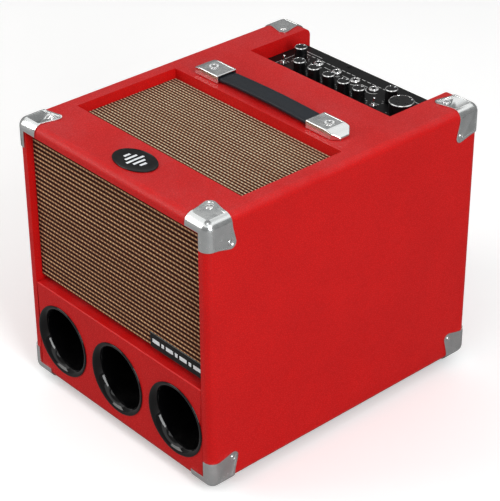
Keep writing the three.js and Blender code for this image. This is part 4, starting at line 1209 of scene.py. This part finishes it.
ink_base = panel_z - 0.00001
ink_top = panel_z + 0.00008
fine_line = 0.0007
bold_line = 0.0008
tick_length = 0.0018
tick_count = 11
tick_turn = 300  # degrees from the first tick to the last
small_ticks = 0.0095  # radius of a small knob's ring of ticks
master_ticks = 0.0172
jack_arc = 0.0098
jack_link = 0.0105
ink_points, ink_faces = [], []


def ink_bar(x0, y0, x1, y1, width):
    """One printed stroke between two places on the panel."""
    along = Vector((x1 - x0, y1 - y0))
    side = Vector((-along.y, along.x)).normalized() * width / 2
    low_side = [(x0 - side.x, y0 - side.y), (x1 - side.x, y1 - side.y)]
    stroke = [*low_side, (x1 + side.x, y1 + side.y), (x0 + side.x, y0 + side.y)]
    first = len(ink_points)
    ink_points.extend([(x, y, z) for z in (ink_base, ink_top) for x, y in stroke])
    ink_faces.append(tuple(first + n for n in (3, 2, 1, 0)))
    ink_faces.append(tuple(first + n for n in (4, 5, 6, 7)))
    for n in range(4):
        after = (n + 1) % 4
        ink_faces.append((first + n, first + after, first + 4 + after, first + 4 + n))


def ink_path(points, width):
    """Printed strokes from each place to the next."""
    for (x0, y0), (x1, y1) in zip(points, points[1:]):
        ink_bar(x0, y0, x1, y1, width)


tick_rings = [(spot, small_ticks) for spot in small_knobs.values()] + [(master_place, master_ticks)]
for (x, y), radius in tick_rings:
    for n in range(tick_count):
        angle = math.radians(90 + tick_turn / 2 - tick_turn * n / (tick_count - 1))
        reach_out = radius + tick_length * (1.5 if n in (0, 5, 10) else 1.0)
        cosine, sine = math.cos(angle), math.sin(angle)
        start = (x + radius * cosine, y + radius * sine)
        ink_bar(*start, x + reach_out * cosine, y + reach_out * sine, fine_line)
dash, gap_between = 0.006, 0.003
x = -0.097
while x < 0.043:
    ink_bar(x, 0.1845, x + dash, 0.1845, bold_line)
    x += dash + gap_between
for x, y in jack_places:
    angles = [math.radians(degrees) for degrees in range(200, 341, 14)]
    arc = [(x + jack_arc * math.cos(a), y + jack_arc * math.sin(a)) for a in angles]
    ink_path(arc, fine_line)
for (x0, y0), (x1, y1) in zip(jack_places, jack_places[1:]):
    ink_bar(x0 + jack_link, y0, x1 - jack_link, y1, fine_line)
ink_path([(-0.106, 0.124), (0.052, 0.124), (0.052, 0.1165), (0.112, 0.1165)], fine_line)
ink_path([(-0.106, 0.124), (-0.106, 0.190), (-0.075, 0.190)], fine_line)
ink_path([(0.084, 0.188), (0.112, 0.188), (0.112, 0.1165)], fine_line)
for x, y in toggle_places.values():
    for step in (-1, 1):
        ink_bar(x - 0.002, y + step * 0.0085, x + 0.002, y + step * 0.0085, bold_line)
fit(from_faces("panel_printing", ink_points, ink_faces), white_ink, "root", "panel_black")

panel_screw = cross_screw("panel_screw", 0.0030, 0.0014)
rear_row = [(x, 0.198) for x in (-0.035, 0.039, -0.113, 0.113)]
for n, (x, y) in enumerate([*rear_row, (-0.113, 0.1175), (0.1155, 0.1155)]):
    screw = copied(f"panel_screw_{n}", panel_screw, at(x, y, panel_z + 0.0006))
    fit(screw, black_screw, "root", "panel_black")
bpy.data.objects.remove(panel_screw)

# ---------------------------------------------------------------------------------------------------
# Knobs
# Turned black knobs, seven small and one wide for the master volume, each with a bright cut edge
# round its top and a white dot set in near the edge. They turn on their own shafts.
# ---------------------------------------------------------------------------------------------------

knob_base = 0.3446
knob_height = 0.0184
knob_small = 0.008
knob_wide = 0.0155
dot_inset = 0.0026
master_turn = math.radians(-29)

knob_black, tree, shader = finish(
    "knob_black", 0.006, (7, 7, 8), (13, 13, 14), (0.26, 0.38),
    dusty(0.006, 0.03, (110, 108, 104)), worn(0.0005, 0.002, 0.2, (80, 80, 80)), specular=0.3,
)


def make_knob(label, radius, spot, turn):
    """A knob with its bright edge and its dot, for one of the frame's knobs."""
    name, body = f"turned_{label}", label
    chamfer = 0.0008
    top = knob_height
    skirt = [(radius - 0.0004, 0.0), (radius, 0.0004)]
    wall = [(radius - 0.0001, 0.006), (radius - 0.0003, top - 0.0022)]
    crown = [(radius - chamfer - 0.0003, top - 0.0003), (0.0, top - 0.0002)]
    hollow = [(0.0, 0.007), (0.0046, 0.007), (0.0046, 0.0)]
    profile = [*hollow, *skirt, *wall, (radius - 0.0003, top - 0.0014), *crown]
    seat = at(*spot, knob_base) @ Matrix.Rotation(turn, 4, "Z")
    fit(smooth(moved(turned(name, profile, 64), seat), 30), knob_black, body, "knob_black", body)
    ring = [
        (radius - 0.0002, top - 0.0010),
        (radius, top - 0.0009),
        (radius, top - chamfer),
        (radius - chamfer, top),
        (radius - chamfer - 0.0002, top - 0.0001),
        (radius - chamfer - 0.0004, top - 0.0008),
    ]
    fit(smooth(moved(turned(f"{name}_ring", ring, 64), seat), 30), bright_metal, body, "knob_black")
    disc = [(0.0, 0.0), (0.0009, 0.0), (0.0009, 0.0007), (0.0007, 0.0008), (0.0, 0.0008)]
    dot = moved(turned(f"{name}_dot", disc, 24), seat, at(0, radius - dot_inset, top - 0.0009))
    fit(smooth(dot), white_enamel, body, "knob_black")


for knob_name, spot in small_knobs.items():
    make_knob(f"knob_{knob_name}", knob_small, spot, 0.0)
make_knob("knob_master", knob_wide, master_place, master_turn)

# ---------------------------------------------------------------------------------------------------
# Toggle switches
# Miniature switches: a threaded bush held by a six-sided nut, and a bright bat lever with a round
# tip that leans back at rest.
# ---------------------------------------------------------------------------------------------------

toggle_pivot = 0.345
toggle_tip = 0.011  # from the pivot to the lever's tip
toggle_lean = math.radians(12)
toggle_ball = 0.0016  # radius of the lever's round tip
nut_reach = 0.0046  # from the middle to a corner of the nut
nut_turn = 20

for side_name, (x, y) in toggle_places.items():
    lever = [(0.0, -0.004), (0.0010, -0.004), (0.0011, 0.002), (0.0012, 0.005)]
    angles = (0.0, 0.4, 0.8, 1.2)
    tip = [(toggle_ball * math.cos(a), toggle_tip - toggle_ball + toggle_ball * math.sin(a)) for a in angles]
    bat = turned(f"bat_lever_{side_name}", [*lever, *tip, (0.0, toggle_tip)], 32)
    moved(bat, at(x, y, toggle_pivot), Matrix.Rotation(-toggle_lean, 4, "X"))
    body = f"toggle_lever_{side_name}"
    fit(smooth(bat, 50), bright_metal, body, "nickel_plate", body)
    bush = [(0.0026, 0.0)]
    for n in range(6):
        z = 0.0008 * n
        bush += [(0.0030, z + 0.0002), (0.0028, z + 0.0006)]
    bush += [(0.0029, 0.0050), (0.0026, 0.0053)]
    collar = turned(f"switch_bush_{side_name}", bush, 40)
    fit(smooth(moved(collar, at(x, y, panel_z)), 30), bright_metal, "root", "circuit_board")
    angles = [math.radians(60 * n + nut_turn) for n in range(6)]
    hexagon = [(nut_reach * math.cos(a), nut_reach * math.sin(a)) for a in angles]
    nut = raised(f"switch_nut_{side_name}", hexagon, 0.0002, 0.0022)
    cut(nut, drum("bore", 0.0031, -0.01, 0.01, 40))
    fit(smooth(soften(moved(nut, at(x, y, panel_z)), 0.0003, 2, 50)), bright_metal, "root", "circuit_board")

# ---------------------------------------------------------------------------------------------------
# Jack sockets
# Four quarter-inch sockets in one black moulding under the panel, each held by a round bright nut
# round its dark throat.
# ---------------------------------------------------------------------------------------------------

socket_plastic, tree, shader = finish(
    "socket_plastic", 0.004, (14, 14, 15), (24, 24, 25), (0.38, 0.55)
)
dress(socket_plastic, "jack_block")

for n, (x, y) in enumerate(jack_places):
    angles = (0.0, 0.4, 0.8, 1.2, 1.57)
    dome = [(0.0052 + 0.0014 * math.cos(a), 0.0014 + 0.0014 * math.sin(a)) for a in angles]
    throat = [(0.0044, 0.0026), (0.0042, 0.0031), (0.0038, 0.0034), (0.0036, 0.0031)]
    ring = [(0.0036, -0.0003), (0.0064, -0.0003), *dome, *throat]
    nut = moved(turned(f"jack_nut_{n + 1}", ring, 48), at(x, y, panel_z))
    fit(smooth(nut, 30), bright_metal, "root", "jack_socket")

# ---------------------------------------------------------------------------------------------------
# Chassis tray, circuit board and transformer
# A folded tray on the bay's floor in the panel's satin black, a green glass-fibre board that carries
# the pots and switches, and a toroidal transformer wound in yellow tape.
# ---------------------------------------------------------------------------------------------------

board_green, tree, shader = new_material("board_green", 0.35)
tone = place(tree, mottle, patch=0.005)["Tone"]
lacquer = blended(tree, tone, paint(12, 60, 32), paint(20, 84, 46))
# Above the board's face are the steel cans and bushes of the pots and switches soldered to it.
height = node(tree, "SeparateXYZ", {"Vector": surface(tree)}).outputs["Z"]
steel = spread(tree, height, 0.3191, 0.3193)
tree.links.new(blended(tree, steel, lacquer, paint(150, 151, 152)), shader.inputs["Base Color"])
tree.links.new(steel, shader.inputs["Metallic"])
tree.links.new(spread(tree, tone, 0.0, 1.0, 0.3, 0.45), shader.inputs["Roughness"])

winding_tape, tree, shader = new_material("winding_tape", 0.4)
wave = {"Vector": surface(tree), "Scale": 30.0, "Distortion": 3.0}
wraps = node(tree, "TexWave", wave).outputs["Fac"]
tree.links.new(blended(tree, wraps, paint(170, 120, 24), paint(214, 168, 60)), shader.inputs["Base Color"])
bump(tree, shader, wraps, 0.0004, 0.6)

dress(satin_black, "chassis_tray")
dress(board_green, "control_board")
dress(winding_tape, "transformer")

# ---------------------------------------------------------------------------------------------------
# Heat sink
# A black anodised extrusion with twelve fins, screwed to the rear of the chassis.
# ---------------------------------------------------------------------------------------------------

(sink_left, sink_y, sink_bottom), (sink_right, _, sink_top) = corners("heat_sink")
sink_base = 0.003
fin_depth = 0.0056
tall = sink_base + fin_depth
fin_thickness = 0.0022
fin_count = 12

anodised, tree, shader = finish(
    "black_anodised", 0.01, (28, 28, 30), (42, 42, 44), 0.38,
    worn(0.0006, 0.004, 0.5, (150, 150, 152)), metallic=0.7,
)
draw_lines = streaks(tree, (900.0, 900.0, 12.0), 1.0, 2.0)
tree.links.new(spread(tree, draw_lines, 0.3, 0.7, 0.3, 0.46), shader.inputs["Roughness"])
bump(tree, shader, draw_lines, 0.0001, 0.4)

outline = [(sink_left, 0.0)]
pitch = (sink_right - sink_left - fin_thickness) / (fin_count - 1)
for n in range(fin_count):
    x = sink_left + n * pitch
    if n:
        outline += [(x, sink_base), (x + 0.0003, tall - 0.0005), (x + 0.0008, tall)]
    else:
        outline += [(x, tall - 0.0005), (x + 0.0005, tall)]
    x += fin_thickness
    outline += [(x - 0.0008, tall), (x - 0.0003, tall - 0.0005), (x, sink_base)]
outline.append((sink_right, 0.0))
sink = moved(raised("fin_extrusion", outline, sink_bottom, sink_top), at(0, sink_y, 0))
fit(smooth(soften(sink, 0.0002, 1, 50), 30), anodised, "root", "black_aluminium", "heat_sink")

# ---------------------------------------------------------------------------------------------------
# Mains inlet and its switch
# A moulded black module, clipped into the rear plate, with a three-pin inlet below a rocker switch
# whose paddle tips about a pin through its middle.
# ---------------------------------------------------------------------------------------------------

(_, inlet_rear, inlet_bottom), (_, inlet_face, inlet_top) = corners("mains_inlet")
inlet_x = middle("mains_inlet")[0]
inlet_half = 0.018
inlet_body_half = 0.015
socket_z = 0.2663
rocker_z = 0.2983
rocker_pivot_y = 0.205
rocker_half = 0.00625
rocker_half_width = 0.0095
rocker_crest = 0.0036
rocker_gap = 0.0008
rocker_tilt = math.radians(8)

inlet_plastic, tree, shader = finish(
    "inlet_plastic", 0.008, (20, 20, 21), (31, 31, 32), 0.4, worn(0.0006, 0.003, 0.25, (90, 90, 90))
)
spark = noise(tree, 2400.0, 2.0)
tree.links.new(spread(tree, spark, 0.3, 0.7, 0.34, 0.5), shader.inputs["Roughness"])
bump(tree, shader, spark, 0.00012, 0.5)

module_low = (inlet_x - inlet_half, 0.2037, inlet_bottom)
inlet = block("inlet_module", module_low, (inlet_x + inlet_half, inlet_face, inlet_top), 0.0008, 3)
inlet_body_low = (inlet_x - inlet_body_half, inlet_rear, inlet_bottom + 0.003)
inlet_body_high = (inlet_x + inlet_body_half, 0.205, inlet_top - 0.003)
join(inlet, block("inlet_body", inlet_body_low, inlet_body_high))
socket_outline = [
    (-0.012, 0.00825),
    (0.012, 0.00825),
    (0.012, -0.003),
    (0.0068, -0.00825),
    (-0.0068, -0.00825),
    (-0.012, -0.003),
]
socket_hole = upright_sheet("socket_hole", socket_outline, 0.015)
cut(inlet, moved(socket_hole, at(inlet_x, inlet_face, socket_z)))
seat_x, seat_z = rocker_half_width + rocker_gap, rocker_half + rocker_gap
seat_high = (inlet_x + seat_x, 0.22, rocker_z + seat_z)
cut(inlet, block("seat", (inlet_x - seat_x, 0.197, rocker_z - seat_z), seat_high))
fit(smooth(soften(inlet, 0.0004, 2, 50)), inlet_plastic, "root", "inlet_plastic", "mains_inlet")
for n, (dx, dz) in enumerate([(-0.007, -0.002), (0.0, 0.002), (0.007, -0.002)]):
    x, z = inlet_x + dx, socket_z + dz
    pin_low, pin_high = (x - 0.001, 0.1905, z - 0.002), (x + 0.001, 0.202, z + 0.002)
    pin = block(f"inlet_pin_{n + 1}", pin_low, pin_high, 0.0004, 2)
    fit(smooth(pin), bright_metal, "root", "inlet_plastic")

rocker_outline = [(-rocker_half, -0.004), (rocker_half, -0.004), (rocker_half, rocker_crest)]
for angle in (0.6, 1.0, 1.3, 1.57, 1.84, 2.14, 2.54):
    rocker_outline.append((rocker_half * math.cos(angle), rocker_crest - 0.0012 * math.sin(angle)))
rocker_outline.append((-rocker_half, rocker_crest))
rocker = raised("rocker_paddle", rocker_outline, -rocker_half_width, rocker_half_width)
upright_rocker = Matrix(((0, 0, 1, 0), (0, 1, 0, 0), (-1, 0, 0, 0), (0, 0, 0, 1)))
rocker_seat = at(inlet_x, rocker_pivot_y, rocker_z) @ Matrix.Rotation(rocker_tilt, 4, "X")
moved(rocker, rocker_seat, upright_rocker)
fit(smooth(soften(rocker, 0.0005, 3, 50)), inlet_plastic, "power_rocker", "inlet_plastic", "power_rocker")

# ---------------------------------------------------------------------------------------------------
# Drivers
# Four five-inch drivers behind the cloths: a cast frame with its magnet and a rolled surround, and a
# pressed paper cone that moves in and out.
# ---------------------------------------------------------------------------------------------------

cast_black, tree, shader = finish(
    "cast_black", 0.01, (30, 30, 31), (44, 44, 46), 0.5, metallic=0.4
)
bump(tree, shader, noise(tree, 1200.0, 3.0), 0.0002, 0.6)

cone_paper, tree, shader = new_material("cone_paper", 0.8)
pulp = noise(tree, 900.0, 5.0)
tree.links.new(blended(tree, pulp, paint(34, 32, 30), paint(58, 54, 50)), shader.inputs["Base Color"])
bump(tree, shader, pulp, 0.0003, 0.7)

for place_name in ("front_left", "front_right", "top_left", "top_right"):
    dress(cast_black, f"driver_frame_{place_name}")
    dress(cone_paper, f"driver_cone_{place_name}")

# ---------------------------------------------------------------------------------------------------
# Feet
# Four moulded rubber feet screwed under the corners, each a shallow cone with its screw sunk in it.
# ---------------------------------------------------------------------------------------------------

foot_names = ("front_left", "front_right", "rear_left", "rear_right")
foot_places = {name: middle(f"foot_{name}")[:2] for name in foot_names}

foot_rubber, tree, shader = finish(
    "foot_rubber", 0.008, (22, 22, 22), (38, 37, 36), 0.75
)
moulded = noise(tree, 1500.0, 2.0)
tree.links.new(spread(tree, moulded, 0.3, 0.7, 0.65, 0.85), shader.inputs["Roughness"])
bump(tree, shader, moulded, 0.0002, 0.5)

well = [(0.0, 0.005), (0.0044, 0.005), (0.0050, 0.0044), (0.0052, 0.0006), (0.0058, 0.0)]
tread = [(0.0130, 0.0), (0.0142, 0.0004), (0.0148, 0.0014)]
foot_profile = [*well, *tread, (0.0160, 0.0112), (0.0156, 0.0117), (0.0, 0.0117)]
foot_screw = cross_screw("foot_screw", 0.0036, 0.0012)
for place_name, (x, y) in foot_places.items():
    foot = moved(turned(f"rubber_foot_{place_name}", foot_profile, 64), at(x, y, 0))
    fit(smooth(foot, 40), foot_rubber, "root", "foot_rubber", f"foot_{place_name}")
    screw = copied(f"foot_screw_{place_name}", foot_screw, at(x, y, 0.0046), face_out)
    fit(screw, bright_metal, "root", "foot_rubber")
bpy.data.objects.remove(foot_screw)
